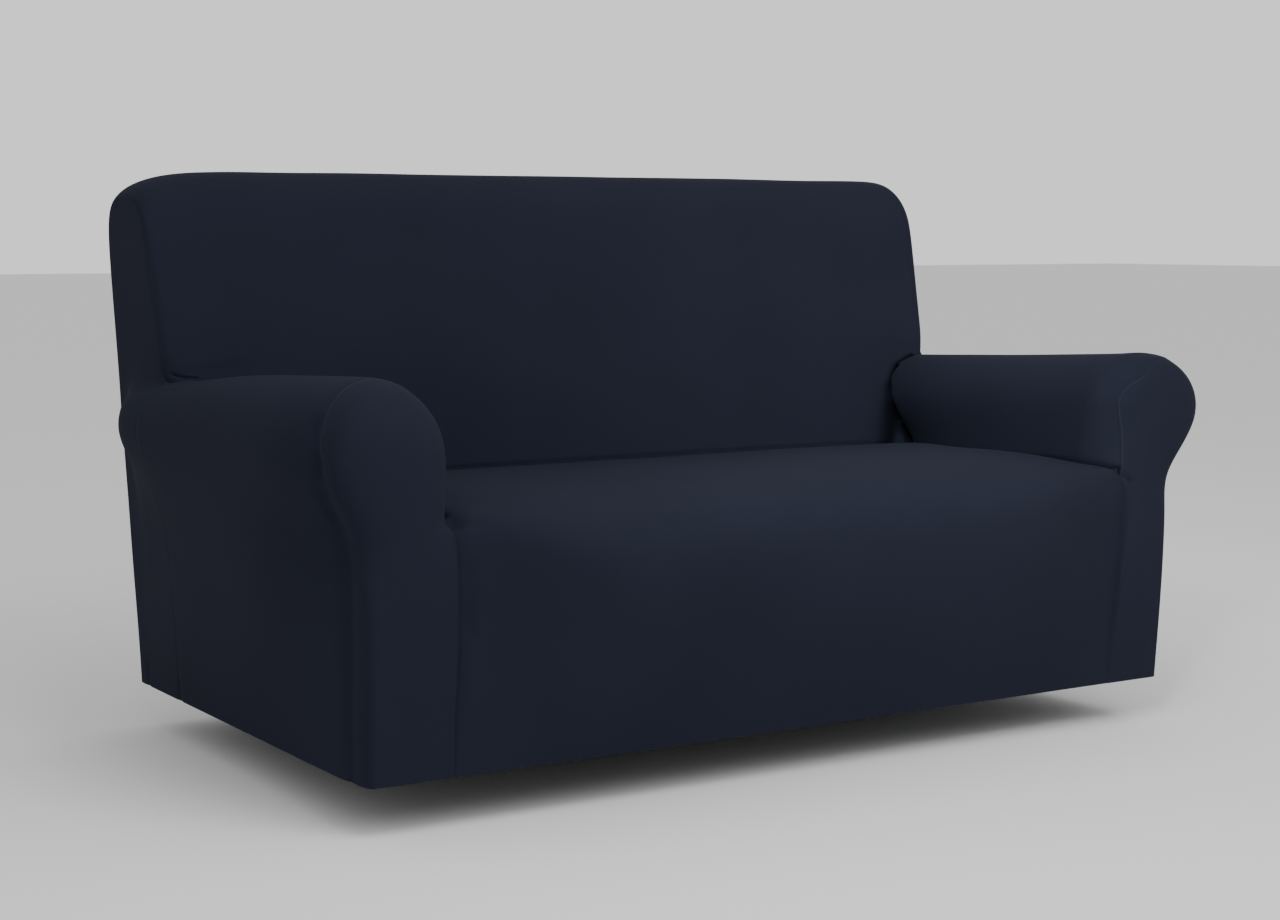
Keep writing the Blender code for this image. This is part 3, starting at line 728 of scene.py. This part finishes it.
def back_strip(side):
    """Strip at the end of the back: rows cross it from its front seam to its rear seam."""
    steps = range(side.sections, INNER_FACE_STEPS + ROLL_STEPS, -1)
    front = [side.tube_point(step, 0)[1:] for step in steps]
    upper = [edge for _, edge, _ in upper_rows()]
    top = UPPER_FACE_STEPS + ARCH_STEPS
    front += upper[:top]
    rear = list(reversed(upper[top - 1:]))
    grid = []
    for front_edge, rear_edge in zip(front, rear):
        points = []
        for column in range(GUSSET_COLUMNS + 1):
            part = column / GUSSET_COLUMNS
            along = mix(front_edge[0], rear_edge[0], part)
            up = mix(front_edge[1], rear_edge[1], part)
            points.append(side.place(strip_outside(side.arm, along, up), along, up))
        grid.append(points)
    return grid


# The eight sheets: flat cut sizes and area, and whether the grid already faces away from the sofa
SheetRow = namedtuple("SheetRow", "name width length area outward")
SHEETS = (
    SheetRow("back_panel", 1.5, 1.48, 2.02, True),
    SheetRow("back_side_left", 0.3, 0.86, 0.155, False),
    SheetRow("back_side_right", 0.3, 0.86, 0.155, True),
    SheetRow("arm_left", 0.72, 0.84, 0.48, False),
    SheetRow("arm_right", 0.72, 0.86, 0.5, True),
    SheetRow("arm_front_left", 0.25, 0.56, 0.105, True),
    SheetRow("arm_front_right", 0.24, 0.56, 0.088, False),
    SheetRow("seat_panel", 1.3, 1.04, 1.17, False),
)
NAMES = [row.name for row in SHEETS]

# How each seam sits: a groove on the line, a raised turned-in edge on the second sheet's side of
# it, with a painted highlight of strength "light" on that edge above the height "low", and a
# broader dip on the first sheet's side. All of it fades above the height "top". A crease isn't
# sewn: the smoothing leaves it sharp.
SEAM_COLUMNS = "first second depth width ridge dip dip_width light low top crease"
SEAM_DEFAULTS = (0.0, 0.0, 0.01, 0.0, 0.0, 2.0, False)
SeamRow = namedtuple("SeamRow", SEAM_COLUMNS, defaults=SEAM_DEFAULTS)
SEAMS = (
    SeamRow("arm_left", "arm_front_left", 0.0014, 0.0022, 0.0008, 0.0014, 0.012, 0.34, low=0.47),
    SeamRow("arm_right", "arm_front_right", 0.0009, 0.0022, 0.0006, 0.001, 0.012, 0.2, top=0.575),
    SeamRow("back_panel", "back_side_left", 0.0006, 0.0026, dip=0.0003),
    SeamRow("back_panel", "back_side_right", 0.0006, 0.0026, dip=0.0003),
    SeamRow("arm_left", "back_side_left", 0.0005, 0.0024, dip=0.0002),
    SeamRow("arm_right", "back_side_right", 0.0005, 0.0024, dip=0.0002),
    SeamRow("arm_front_left", "seat_panel", 0.001, 0.0024, 0.0002, 0.0003),
    SeamRow("arm_front_right", "seat_panel", 0.0003, 0.0024),
    SeamRow("seat_panel", "back_panel", 0.0036, 0.0048, crease=True),
    SeamRow("seat_panel", "arm_left", 0.005, 0.006, crease=True),
    SeamRow("seat_panel", "arm_right", 0.005, 0.006, crease=True),
    SeamRow("back_panel", "arm_left", 0.002, 0.005, crease=True),
    SeamRow("back_panel", "arm_right", 0.002, 0.005, crease=True),
)
CREASES = [{row.first, row.second} for row in SEAMS if row.crease]
RIDGE_FROM_SEAM = 0.003
RIDGE_WIDTH = 0.0016

# Soft troughs, each a run of rows with one name: where a row's straight piece starts and ends on
# the cloth, how wide it is and how deep
FoldRow = namedtuple("FoldRow", "name out along up to_out to_along to_up width depth")
FOLDS = (
    FoldRow("beside_left_seam", -0.76, -0.354, 0.552, -0.762, -0.361, 0.488, 0.013, 0.0065),
    FoldRow("beside_left_seam", -0.762, -0.361, 0.488, -0.742, -0.364, 0.432, 0.009, 0.0035),
    FoldRow("left_front_edge", -0.757, -0.373, 0.5, -0.743, -0.377, 0.44, 0.016, 0.006),
    FoldRow("left_front_edge", -0.743, -0.377, 0.44, -0.721, -0.374, 0.3, 0.018, 0.007),
    FoldRow("left_front_edge", -0.721, -0.374, 0.3, -0.715, -0.376, 0.2, 0.017, 0.006),
    FoldRow("left_front_edge", -0.715, -0.376, 0.2, -0.713, -0.378, 0.08, 0.016, 0.0045),
    FoldRow("left_pocket", -0.579, -0.388, 0.436, -0.576, -0.41, 0.418, 0.0105, 0.015),
    FoldRow("apron_dent", -0.57, -0.437, 0.352, -0.5715, -0.434, 0.272, 0.013, 0.009),
    FoldRow("left_shoulder_seam", -0.64, -0.388, 0.604, -0.618, -0.394, 0.588, 0.0024, 0.0022),
    FoldRow("left_slit", -0.734, 0.222, 0.586, -0.715, 0.2185, 0.58, 0.0022, 0.005),
    FoldRow("left_slit", -0.715, 0.2185, 0.58, -0.694, 0.2165, 0.5785, 0.002, 0.0035),
    FoldRow("left_drawn", -0.736, 0.226, 0.596, -0.69, 0.232, 0.625, 0.02, 0.0012),
    FoldRow("left_star", -0.747, 0.222, 0.588, -0.757, 0.22, 0.57, 0.0028, 0.0015),
    FoldRow("left_star", -0.747, 0.222, 0.588, -0.757, 0.24, 0.596, 0.0028, 0.0015),
    FoldRow("left_star", -0.747, 0.222, 0.588, -0.737, 0.228, 0.604, 0.0028, 0.0012),
    FoldRow("right_slot", 0.706, 0.216, 0.569, 0.67, 0.21, 0.549, 0.006, 0.018),
    FoldRow("right_slot", 0.67, 0.21, 0.549, 0.649, 0.202, 0.512, 0.008, 0.03),
    FoldRow("right_slot", 0.649, 0.202, 0.512, 0.652, 0.195, 0.48, 0.01, 0.036),
    FoldRow("right_slot", 0.652, 0.195, 0.48, 0.69, 0.18, 0.412, 0.014, 0.04),
    FoldRow("right_hollow", 0.66, 0.192, 0.462, 0.642, 0.175, 0.408, 0.023, 0.048),
    FoldRow("right_hollow", 0.664, 0.19, 0.445, 0.692, 0.184, 0.405, 0.02, 0.048),
    FoldRow("right_star", 0.644, -0.388, 0.578, 0.664, -0.396, 0.585, 0.0028, 0.0018),
    FoldRow("right_star", 0.644, -0.388, 0.578, 0.636, -0.376, 0.573, 0.0028, 0.0016),
    FoldRow("right_star", 0.644, -0.388, 0.578, 0.648, -0.374, 0.588, 0.0028, 0.0012),
    FoldRow("beside_right_seam", 0.627, -0.392, 0.558, 0.617, -0.403, 0.5, 0.011, 0.0042),
    FoldRow("beside_right_seam", 0.617, -0.403, 0.5, 0.62, -0.409, 0.45, 0.01, 0.003),
    FoldRow("right_slit", 0.616, -0.42, 0.419, 0.645, -0.427, 0.402, 0.0045, 0.0055),
    FoldRow("hem_pucker_rear", -0.72, 0.388, 0.072, -0.722, 0.384, 0.105, 0.006, 0.0018),
    FoldRow("hem_pucker_seam", -0.72, 0.246, 0.072, -0.722, 0.243, 0.11, 0.006, 0.0018),
)

# How the shell is smoothed, sampled and finished
SMOOTH_LEVELS = 3
FIT_ROUNDS = 3
JOIN_DISTANCE = 0.0002
SAMPLE_STEP = 0.001
SEAM_REACH = 0.05
SEAM_FADE = 0.015
SEAM_FADE_SHARE = 0.85
FIT_LIMIT = 0.003
EDGE_GAP = 0.0002
UNEVEN_DEPTH = 0.0007
UNEVEN_SIZE = 0.16
UNEVEN_FROM_HEM = 0.05
SHARP_ANGLE = math.radians(60.0)

# Camera, at the height of a person sitting, in the part's frame
CAMERA_PLACE = (-1.957, -3.428, -0.0965)
CAMERA_PITCH = math.radians(90.0 - 5.78)
CAMERA_YAW = math.radians(-32.22)
CAMERA_LENS = 63.15
CAMERA_SENSOR = 36.0
FLOOR_UP = -float(HANG_POINT[2])

# Look of the cloth, the floor and the ground behind it
NAVY = (0.013, 0.015, 0.0262, 1.0)
NAVY_LIGHT = (0.0142, 0.0163, 0.0282, 1.0)
# painted shade colour for the low spots between the knit's loops
NAVY_PAINTED_SHADE = (0.01, 0.0116, 0.0205, 1.0)
# painted highlight colour for the seams' raised turned-in edges
NAVY_PAINTED_HIGHLIGHT = (0.042, 0.0465, 0.064, 1.0)
SHEEN_TINT = (0.45, 0.52, 0.75, 1.0)
PALE = (0.92, 0.92, 0.92, 1.0)
WHITE = (1.0, 1.0, 1.0, 1.0)
CLOTH_GLOSS = 0.06
SHEEN = 0.015
SHEEN_ROUGHNESS = 0.5
CLOUD_SCALE = 5.0
CLOUD_DETAIL = 3.0
CLOUD_RANGE = (0.35, 0.65)
FUZZ_SCALE = 900.0
FUZZ_DETAIL = 2.0
FUZZ_HEIGHT = 0.3
ROUGH_RANGE = (0.86, 0.98)
KNIT_PITCH = 0.0016
KNIT_ROWS_PER_COLUMN = 1.2
KNIT_SLANT = 1.6
KNIT_LOW_HEIGHT = 0.35
KNIT_SHADE = 0.35
KNIT_BUMP = 0.35
KNIT_BUMP_HEIGHT = 0.0004
FLOOR_HALF_SIZE = 40.0
FLOOR_ROUGHNESS = 0.9
FLOOR_GLOSS = 0.1


def sheet_grids():
    """The grid of points of each sheet, in the order of SHEETS."""
    pairs = [make(side) for make in (back_strip, arm_panel, arm_front) for side in (LEFT, RIGHT)]
    return dict(zip(NAMES, [back_panel()] + pairs + [seat_panel()]))


def cloth_places(grid):
    """How far each row and column of a grid lies along the cloth, in metres."""
    points = np.array(grid)
    down = np.linalg.norm(np.diff(points, axis=0), axis=2).mean(axis=1)
    across = np.linalg.norm(np.diff(points, axis=1), axis=2).mean(axis=0)
    rows = np.concatenate(((0.0,), np.cumsum(down)))
    columns = np.concatenate(((0.0,), np.cumsum(across)))
    return rows, columns


def joined_shell():
    """All sheets welded into one mesh of quads; a face's material number says its sheet."""
    shell = bmesh.new()
    layer = shell.loops.layers.uv.new("cloth")
    crease = shell.edges.layers.float.new("crease_edge")
    grids = sheet_grids()
    for number, row in enumerate(SHEETS):
        grid = grids[row.name]
        rows, columns = cloth_places(grid)
        verts = [[shell.verts.new(point) for point in points] for points in grid]
        for up in range(len(grid) - 1):
            for side in range(len(grid[0]) - 1):
                ring = [(up, side), (up, side + 1), (up + 1, side + 1), (up + 1, side)]
                if not row.outward:
                    ring.reverse()
                face = shell.faces.new([verts[r][c] for r, c in ring])
                face.material_index = number
                face.smooth = True
                for loop, (r, c) in zip(face.loops, ring):
                    loop[layer].uv = (columns[c], rows[r])
    bmesh.ops.remove_doubles(shell, verts=shell.verts[:], dist=JOIN_DISTANCE)
    bmesh.ops.dissolve_degenerate(shell, edges=shell.edges[:], dist=JOIN_DISTANCE)
    for edge in shell.edges:
        if len(edge.link_faces) == 2:
            pair = {NAMES[face.material_index] for face in edge.link_faces}
            edge[crease] = float(pair in CREASES)
    mesh = bpy.data.meshes.new("shell")
    shell.to_mesh(mesh)
    shell.free()
    return mesh


def coordinates(mesh):
    """Vertex places of a mesh as an array."""
    flat = np.empty(len(mesh.vertices) * 3)
    mesh.vertices.foreach_get("co", flat)
    return flat.reshape(-1, 3)


def smoothed_shell():
    """Subdivide the joined shell so that it still runs through its own points."""
    mesh = joined_shell()
    holder = linked("shell", mesh)
    smooth = holder.modifiers.new("smooth", "SUBSURF")
    smooth.levels = SMOOTH_LEVELS
    smooth.render_levels = SMOOTH_LEVELS
    smooth.use_limit_surface = True
    wanted = coordinates(mesh)
    count = len(wanted)
    for _ in range(FIT_ROUNDS):
        bpy.context.view_layer.update()
        reached = coordinates(evaluated(holder).data)[:count]
        shift = coordinates(mesh) + (wanted - reached) - wanted
        length = np.maximum(np.linalg.norm(shift, axis=1), 1e-9)
        moved = wanted + shift * np.minimum(FIT_LIMIT / length, 1.0)[:, None]
        mesh.vertices.foreach_set("co", moved.ravel())
        mesh.update()
    fine = bpy.data.meshes.new_from_object(evaluated(holder))
    bpy.data.objects.remove(holder, do_unlink=True)
    return fine


def evaluated(holder):
    """The holder with its modifiers."""
    return holder.evaluated_get(bpy.context.evaluated_depsgraph_get())


def linked(name, data):
    """A new object in the scene."""
    made = bpy.data.objects.new(name, data)
    bpy.context.scene.collection.objects.link(made)
    return made


class Shell:
    """The fine shell as arrays: points, faces, each face's sheet and the seams between them."""

    def __init__(self, mesh):
        self.points = coordinates(mesh)
        loops = np.empty(len(mesh.loops), dtype=int)
        mesh.loops.foreach_get("vertex_index", loops)
        self.faces = loops.reshape(-1, 4)
        self.sheet = np.empty(len(mesh.polygons), dtype=int)
        mesh.polygons.foreach_get("material_index", self.sheet)
        places = np.empty(len(mesh.loops) * 2)
        mesh.uv_layers["cloth"].data.foreach_get("uv", places)
        self.places = places.reshape(-1, 4, 2)
        # strength of the painted highlight on the seams' raised edges, at each point
        self.light = np.zeros(len(self.points))
        self.find_seams()

    def find_seams(self):
        """The edges that two sheets share, by the pair of their names."""
        starts = self.faces.ravel()
        ends = np.roll(self.faces, -1, axis=1).ravel()
        owner = np.repeat(np.arange(len(self.faces)), 4)
        low, high = np.minimum(starts, ends), np.maximum(starts, ends)
        order = np.lexsort((high, low))
        low, high, owner = low[order], high[order], owner[order]
        same = (low[1:] == low[:-1]) & (high[1:] == high[:-1])
        first, second = owner[:-1][same], owner[1:][same]
        edges = np.stack((low[:-1][same], high[:-1][same]), axis=1)
        one, two = self.sheet[first], self.sheet[second]
        self.seams = {}
        for row in SEAMS:
            a, b = NAMES.index(row.first), NAMES.index(row.second)
            on_seam = ((one == a) & (two == b)) | ((one == b) & (two == a))
            self.seams[(row.first, row.second)] = edges[on_seam]

    def normals(self):
        """Smooth directions away from the sofa at each point."""
        a, b, c, d = (self.points[self.faces[:, corner]] for corner in range(4))
        faces = np.cross(c - a, d - b)
        total = np.zeros_like(self.points)
        for corner in range(4):
            np.add.at(total, self.faces[:, corner], faces)
        return total / np.maximum(np.linalg.norm(total, axis=1), 1e-12)[:, None]

    def above(self, up, reach):
        """How far each point is above a height, as a part of a reach, from 0 to 1."""
        return np.clip((self.points[:, 2] - up) / reach, 0.0, 1.0)

    def on_sheet(self, name):
        """Which points belong to a sheet."""
        mask = np.zeros(len(self.points), dtype=bool)
        mask[self.faces[self.sheet == NAMES.index(name)].ravel()] = True
        return mask

    def seam_distance(self, pair):
        """Distance of each point of the pair's sheets from their seam."""
        samples = []
        for start, end in self.seams[pair]:
            a, b = self.points[start], self.points[end]
            steps = max(int(math.ceil(np.linalg.norm(b - a) / SAMPLE_STEP)), 1)
            samples.extend(a + (b - a) * step / steps for step in range(steps))
        tree = kdtree.KDTree(len(samples))
        for index, point in enumerate(samples):
            tree.insert(Vector(point), index)
        tree.balance()
        low = np.min(samples, axis=0) - SEAM_REACH
        high = np.max(samples, axis=0) + SEAM_REACH
        near = ((self.points > low) & (self.points < high)).all(axis=1)
        near &= self.on_sheet(pair[0]) | self.on_sheet(pair[1])
        distance = np.full(len(self.points), np.inf)
        for index in np.flatnonzero(near):
            distance[index] = tree.find(Vector(self.points[index]))[2]
        return distance

    def sew(self):
        """Sink each seam, raise the turned-in edge beside it, paint a highlight on that edge and
        dip the other side.
        """
        normal = self.normals()
        sunk = np.zeros(len(self.points))
        for row in SEAMS:
            pair = (row.first, row.second)
            distance = self.seam_distance(pair)
            groove = row.depth * np.exp(-(distance / row.width) ** 2)
            second = self.on_sheet(row.second)
            only_first = self.on_sheet(row.first) & ~second
            ridge = np.exp(-((distance - RIDGE_FROM_SEAM) / RIDGE_WIDTH) ** 2)
            fade = np.minimum(distance / RIDGE_FROM_SEAM, 1.0)
            dip = row.dip * np.exp(-(distance / row.dip_width) ** 2) * fade
            flat_above = 1.0 - SEAM_FADE_SHARE * self.above(row.top, SEAM_FADE)
            sunk += (groove - row.ridge * ridge * second + dip * only_first) * flat_above
            # painted highlight on the raised turned-in edge, only above the height low
            light = row.light * ridge * second * flat_above * self.above(row.low, SEAM_FADE)
            self.light = np.maximum(self.light, light)
        self.points = self.points - normal * sunk[:, None]

    def fold(self):
        """Press in the soft troughs, each run of rows against the mean direction it faces."""
        normal = self.normals()
        folds = {}
        for row in FOLDS:
            start = np.array((row.out, row.along, row.up))
            run = np.array((row.to_out, row.to_along, row.to_up)) - start
            part = np.clip((self.points - start) @ run / (run @ run), 0.0, 1.0)
            distance = np.linalg.norm(self.points - start - part[:, None] * run, axis=1)
            depth = row.depth * np.exp(-(distance / row.width) ** 2)
            folds[row.name] = np.maximum(folds.get(row.name, 0.0), depth)
        for depth in folds.values():
            facing = (normal * depth[:, None]).sum(axis=0)
            facing /= np.linalg.norm(facing)
            self.points = self.points - facing * depth[:, None]

    def unsettle(self):
        """Leave the cloth very slightly uneven over the padding."""
        normal = self.normals()
        heights = [noise.noise(Vector(point / UNEVEN_SIZE)) for point in self.points]
        fade = self.above(HEM, UNEVEN_FROM_HEM)
        self.points = self.points + normal * (np.array(heights) * fade * UNEVEN_DEPTH)[:, None]


def cloth_piece(shell, number, normal):
    """One sheet cut from the shell, SHEET thick, its outer edges just clear of its neighbours."""
    row = SHEETS[number]
    chosen = shell.sheet == number
    faces = shell.faces[chosen]
    places = shell.places[chosen]
    used, renumbered = np.unique(faces.ravel(), return_inverse=True)
    faces = renumbered.reshape(-1, 4)
    skin = shell.points[used]
    rims = rim_edges(faces)
    outer = skin + rim_moves(skin, faces, rims) * EDGE_GAP
    inner = skin - normal[used] * SHEET
    count = len(used)
    bodies = [faces, faces[:, ::-1] + count]
    rim_faces = np.stack((rims[:, 1], rims[:, 0], rims[:, 0] + count, rims[:, 1] + count), axis=1)
    everything = np.concatenate(bodies + [rim_faces])
    mesh = bpy.data.meshes.new(row.name + "_cloth")
    points = np.concatenate((outer, inner)) - HANG_POINT
    mesh.from_pydata(points.tolist(), [], everything.tolist())
    rim_places = np.zeros((len(rims), 4, 2))
    cloth = np.concatenate((places, places[:, ::-1], rim_places))
    layer = mesh.uv_layers.new(name="cloth")
    layer.data.foreach_set("uv", cloth.ravel())
    # painted seam highlight, passed to the shader at each point
    light = mesh.attributes.new("edge_light", "FLOAT", "POINT")
    light.data.foreach_set("value", np.concatenate((shell.light[used], np.zeros(count))))
    mesh.shade_smooth()
    mesh.set_sharp_from_angle(angle=SHARP_ANGLE)
    mesh.materials.append(knit_material(row.name))
    return linked(row.name + "_cloth", mesh)


def rim_edges(faces):
    """Edges that only one face has, in that face's direction."""
    starts = faces.ravel()
    ends = np.roll(faces, -1, axis=1).ravel()
    keys = np.minimum(starts, ends) * (faces.max() + 1) + np.maximum(starts, ends)
    _, index, counts = np.unique(keys, return_index=True, return_counts=True)
    lone = index[counts == 1]
    return np.stack((starts[lone], ends[lone]), axis=1)


def rim_moves(points, faces, rims):
    """Direction into the sheet at each point of its edge."""
    centre = np.zeros_like(points)
    seen = np.zeros(len(points))
    middle = points[faces].mean(axis=1)
    for corner in range(4):
        np.add.at(centre, faces[:, corner], middle)
        np.add.at(seen, faces[:, corner], 1.0)
    moves = np.zeros_like(points)
    edge = np.unique(rims.ravel())
    inward = centre[edge] / seen[edge][:, None] - points[edge]
    moves[edge] = inward / np.maximum(np.linalg.norm(inward, axis=1), 1e-9)[:, None]
    return moves


def feed(tree, socket, value):
    """Set a shader input to a value, or link it to an output."""
    if isinstance(value, bpy.types.NodeSocket):
        tree.links.new(value, socket)
    else:
        socket.default_value = value


def node(tree, kind, inputs, **settings):
    """A shader node with its properties set and its inputs fed."""
    made = tree.nodes.new(kind)
    for name, value in settings.items():
        setattr(made, name, value)
    for name, value in inputs.items():
        feed(tree, made.inputs[name], value)
    return made


def blend_colours(tree, first, second, factor):
    """Mix two colours by a factor."""
    mixer = node(tree, "ShaderNodeMix", {"Factor": factor}, data_type="RGBA")
    sockets = [item for item in mixer.inputs if item.type == "RGBA"]
    for socket, value in zip(sockets, (first, second)):
        feed(tree, socket, value)
    return [item for item in mixer.outputs if item.type == "RGBA"][0]


def remap(tree, value, given, wanted):
    """A value moved from one range to another."""
    inputs = {"Value": value, "From Min": given[0], "From Max": given[1]}
    inputs.update({"To Min": wanted[0], "To Max": wanted[1]})
    return node(tree, "ShaderNodeMapRange", inputs).outputs["Result"]


def calculated(tree, operation, *values):
    """The result of one operation on numbers or outputs."""
    inputs = dict(enumerate(values))
    return node(tree, "ShaderNodeMath", inputs, operation=operation).outputs["Value"]


def new_material(name):
    """A material with its node tree and its shader's inputs."""
    material = bpy.data.materials.new(name)
    material.use_nodes = True
    return material, material.node_tree, material.node_tree.nodes["Principled BSDF"].inputs


def noise_at(tree, place, scale, detail):
    """Soft noise of a given fineness."""
    inputs = {"Vector": place, "Scale": scale, "Detail": detail}
    return node(tree, "ShaderNodeTexNoise", inputs).outputs["Fac"]


def knit_material(name):
    """Matte navy stretch knit: fine rows of loops with painted shade between them, soft cloudiness
    and a painted highlight on the turned edge.
    """
    material, tree, shader = new_material(name + "_knit")
    place = node(tree, "ShaderNodeTexCoord", {}).outputs["Object"]
    soft = remap(tree, noise_at(tree, place, CLOUD_SCALE, CLOUD_DETAIL), CLOUD_RANGE, (0.0, 1.0))
    colour = blend_colours(tree, NAVY, NAVY_LIGHT, soft)
    loops = knit_height(tree)
    # painted shade: the colour darkens where the knit's loops are low, between them
    between = remap(tree, loops, (0.0, KNIT_LOW_HEIGHT), (KNIT_SHADE, 0.0))
    colour = blend_colours(tree, colour, NAVY_PAINTED_SHADE, between)
    # painted highlight along the seams' raised turned-in edges
    edge = node(tree, "ShaderNodeAttribute", {}, attribute_name="edge_light").outputs["Fac"]
    colour = blend_colours(tree, colour, NAVY_PAINTED_HIGHLIGHT, edge)
    fuzz = noise_at(tree, place, FUZZ_SCALE, FUZZ_DETAIL)
    height = calculated(tree, "MULTIPLY_ADD", fuzz, FUZZ_HEIGHT, loops)
    bump = {"Height": height, "Strength": KNIT_BUMP, "Distance": KNIT_BUMP_HEIGHT}
    feed(tree, shader["Base Color"], colour)
    feed(tree, shader["Roughness"], remap(tree, fuzz, (0.0, 1.0), ROUGH_RANGE))
    feed(tree, shader["Normal"], node(tree, "ShaderNodeBump", bump).outputs["Normal"])
    shader["Specular IOR Level"].default_value = CLOTH_GLOSS
    shader["Sheen Weight"].default_value = SHEEN
    shader["Sheen Roughness"].default_value = SHEEN_ROUGHNESS
    shader["Sheen Tint"].default_value = SHEEN_TINT
    return material


def knit_height(tree):
    """Height of the knit: slanted loops in narrow columns along the cloth."""
    cloth = node(tree, "ShaderNodeUVMap", {}, uv_map="cloth").outputs["UV"]
    split = node(tree, "ShaderNodeSeparateXYZ", {"Vector": cloth}).outputs
    turn = 2.0 * math.pi / KNIT_PITCH
    across = calculated(tree, "MULTIPLY", split["X"], turn)
    down = calculated(tree, "MULTIPLY", split["Y"], turn * KNIT_ROWS_PER_COLUMN)
    slanted = calculated(tree, "MULTIPLY_ADD", calculated(tree, "SINE", across), KNIT_SLANT, down)
    column = calculated(tree, "COSINE", calculated(tree, "MULTIPLY", across, 2.0))
    both = calculated(tree, "ADD", calculated(tree, "SINE", slanted), column)
    return remap(tree, both, (-2.0, 2.0), (0.0, 1.0))


def make_cover():
    """Build the eight sheets, each in the place of its own CAD node."""
    shell = Shell(smoothed_shell())
    shell.fold()
    shell.sew()
    shell.unsettle()
    normal = shell.normals()
    for number, row in enumerate(SHEETS):
        piece = cloth_piece(shell, number, normal)
        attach(piece, "root")
        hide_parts(row.name)


def make_floor():
    """Pale plain floor that the left-out sofa would stand on."""
    size = FLOOR_HALF_SIZE
    corners = [(-size, -size, 0.0), (size, -size, 0.0), (size, size, 0.0), (-size, size, 0.0)]
    mesh = bpy.data.meshes.new("floor")
    mesh.from_pydata(corners, [], [(0, 1, 2, 3)])
    floor = linked("floor", mesh)
    floor.location = (0.0, 0.0, FLOOR_UP)
    material, _, shader = new_material("pale_floor")
    shader["Base Color"].default_value = PALE
    shader["Roughness"].default_value = FLOOR_ROUGHNESS
    shader["Specular IOR Level"].default_value = FLOOR_GLOSS
    mesh.materials.append(material)


# Where each lamp stands and aims, its size, the width of its beam in degrees and its watts
LightRow = namedtuple("LightRow", "name place aim size beam power")
LIGHTS = (
    LightRow("front", (0.9, -3.6, 2.0), (0.0, -0.2, -0.45), 3.0, 180.0, 55.0),
    LightRow("inner", (-0.55, -1.45, 0.75), (0.0, -0.2, -0.45), 0.9, 180.0, 10.0),
    LightRow("right_arm", (-1.6, -2.4, 0.9), (0.62, -0.36, -0.42), 0.6, 26.0, 1.7),
)

# The ground behind: what lights the cover, and what the camera sees
WORLD_LIGHT = 0.74
WORLD_SEEN = 1.05


def make_light():
    """Soft studio light, mostly from above and the front right."""
    for row in LIGHTS:
        data = bpy.data.lights.new(row.name, "AREA")
        data.shape = "DISK"
        data.size = row.size
        data.spread = math.radians(row.beam)
        data.energy = row.power
        lamp = linked(row.name, data)
        lamp.location = row.place
        aim = Vector(row.aim) - Vector(row.place)
        lamp.rotation_euler = aim.to_track_quat("-Z", "Y").to_euler()
    world = bpy.data.worlds.new("studio")
    world.use_nodes = True
    tree = world.node_tree
    lit = tree.nodes["Background"]
    lit.inputs["Color"].default_value = WHITE
    lit.inputs["Strength"].default_value = WORLD_LIGHT
    seen = node(tree, "ShaderNodeBackground", {"Color": WHITE, "Strength": WORLD_SEEN})
    inputs = {"Fac": node(tree, "ShaderNodeLightPath", {}).outputs["Is Camera Ray"]}
    inputs.update({1: lit.outputs["Background"], 2: seen.outputs["Background"]})
    chosen = node(tree, "ShaderNodeMixShader", inputs).outputs["Shader"]
    feed(tree, tree.nodes["World Output"].inputs["Surface"], chosen)
    bpy.context.scene.world = world


def make_camera():
    """Camera to the front left, a little above the seat."""
    data = bpy.data.cameras.new("camera")
    data.lens = CAMERA_LENS
    data.sensor_width = CAMERA_SENSOR
    camera = linked("camera", data)
    camera.location = CAMERA_PLACE
    camera.rotation_euler = (CAMERA_PITCH, 0.0, CAMERA_YAW)
    bpy.context.scene.camera = camera


make_camera()
make_cover()
make_floor()
make_light()
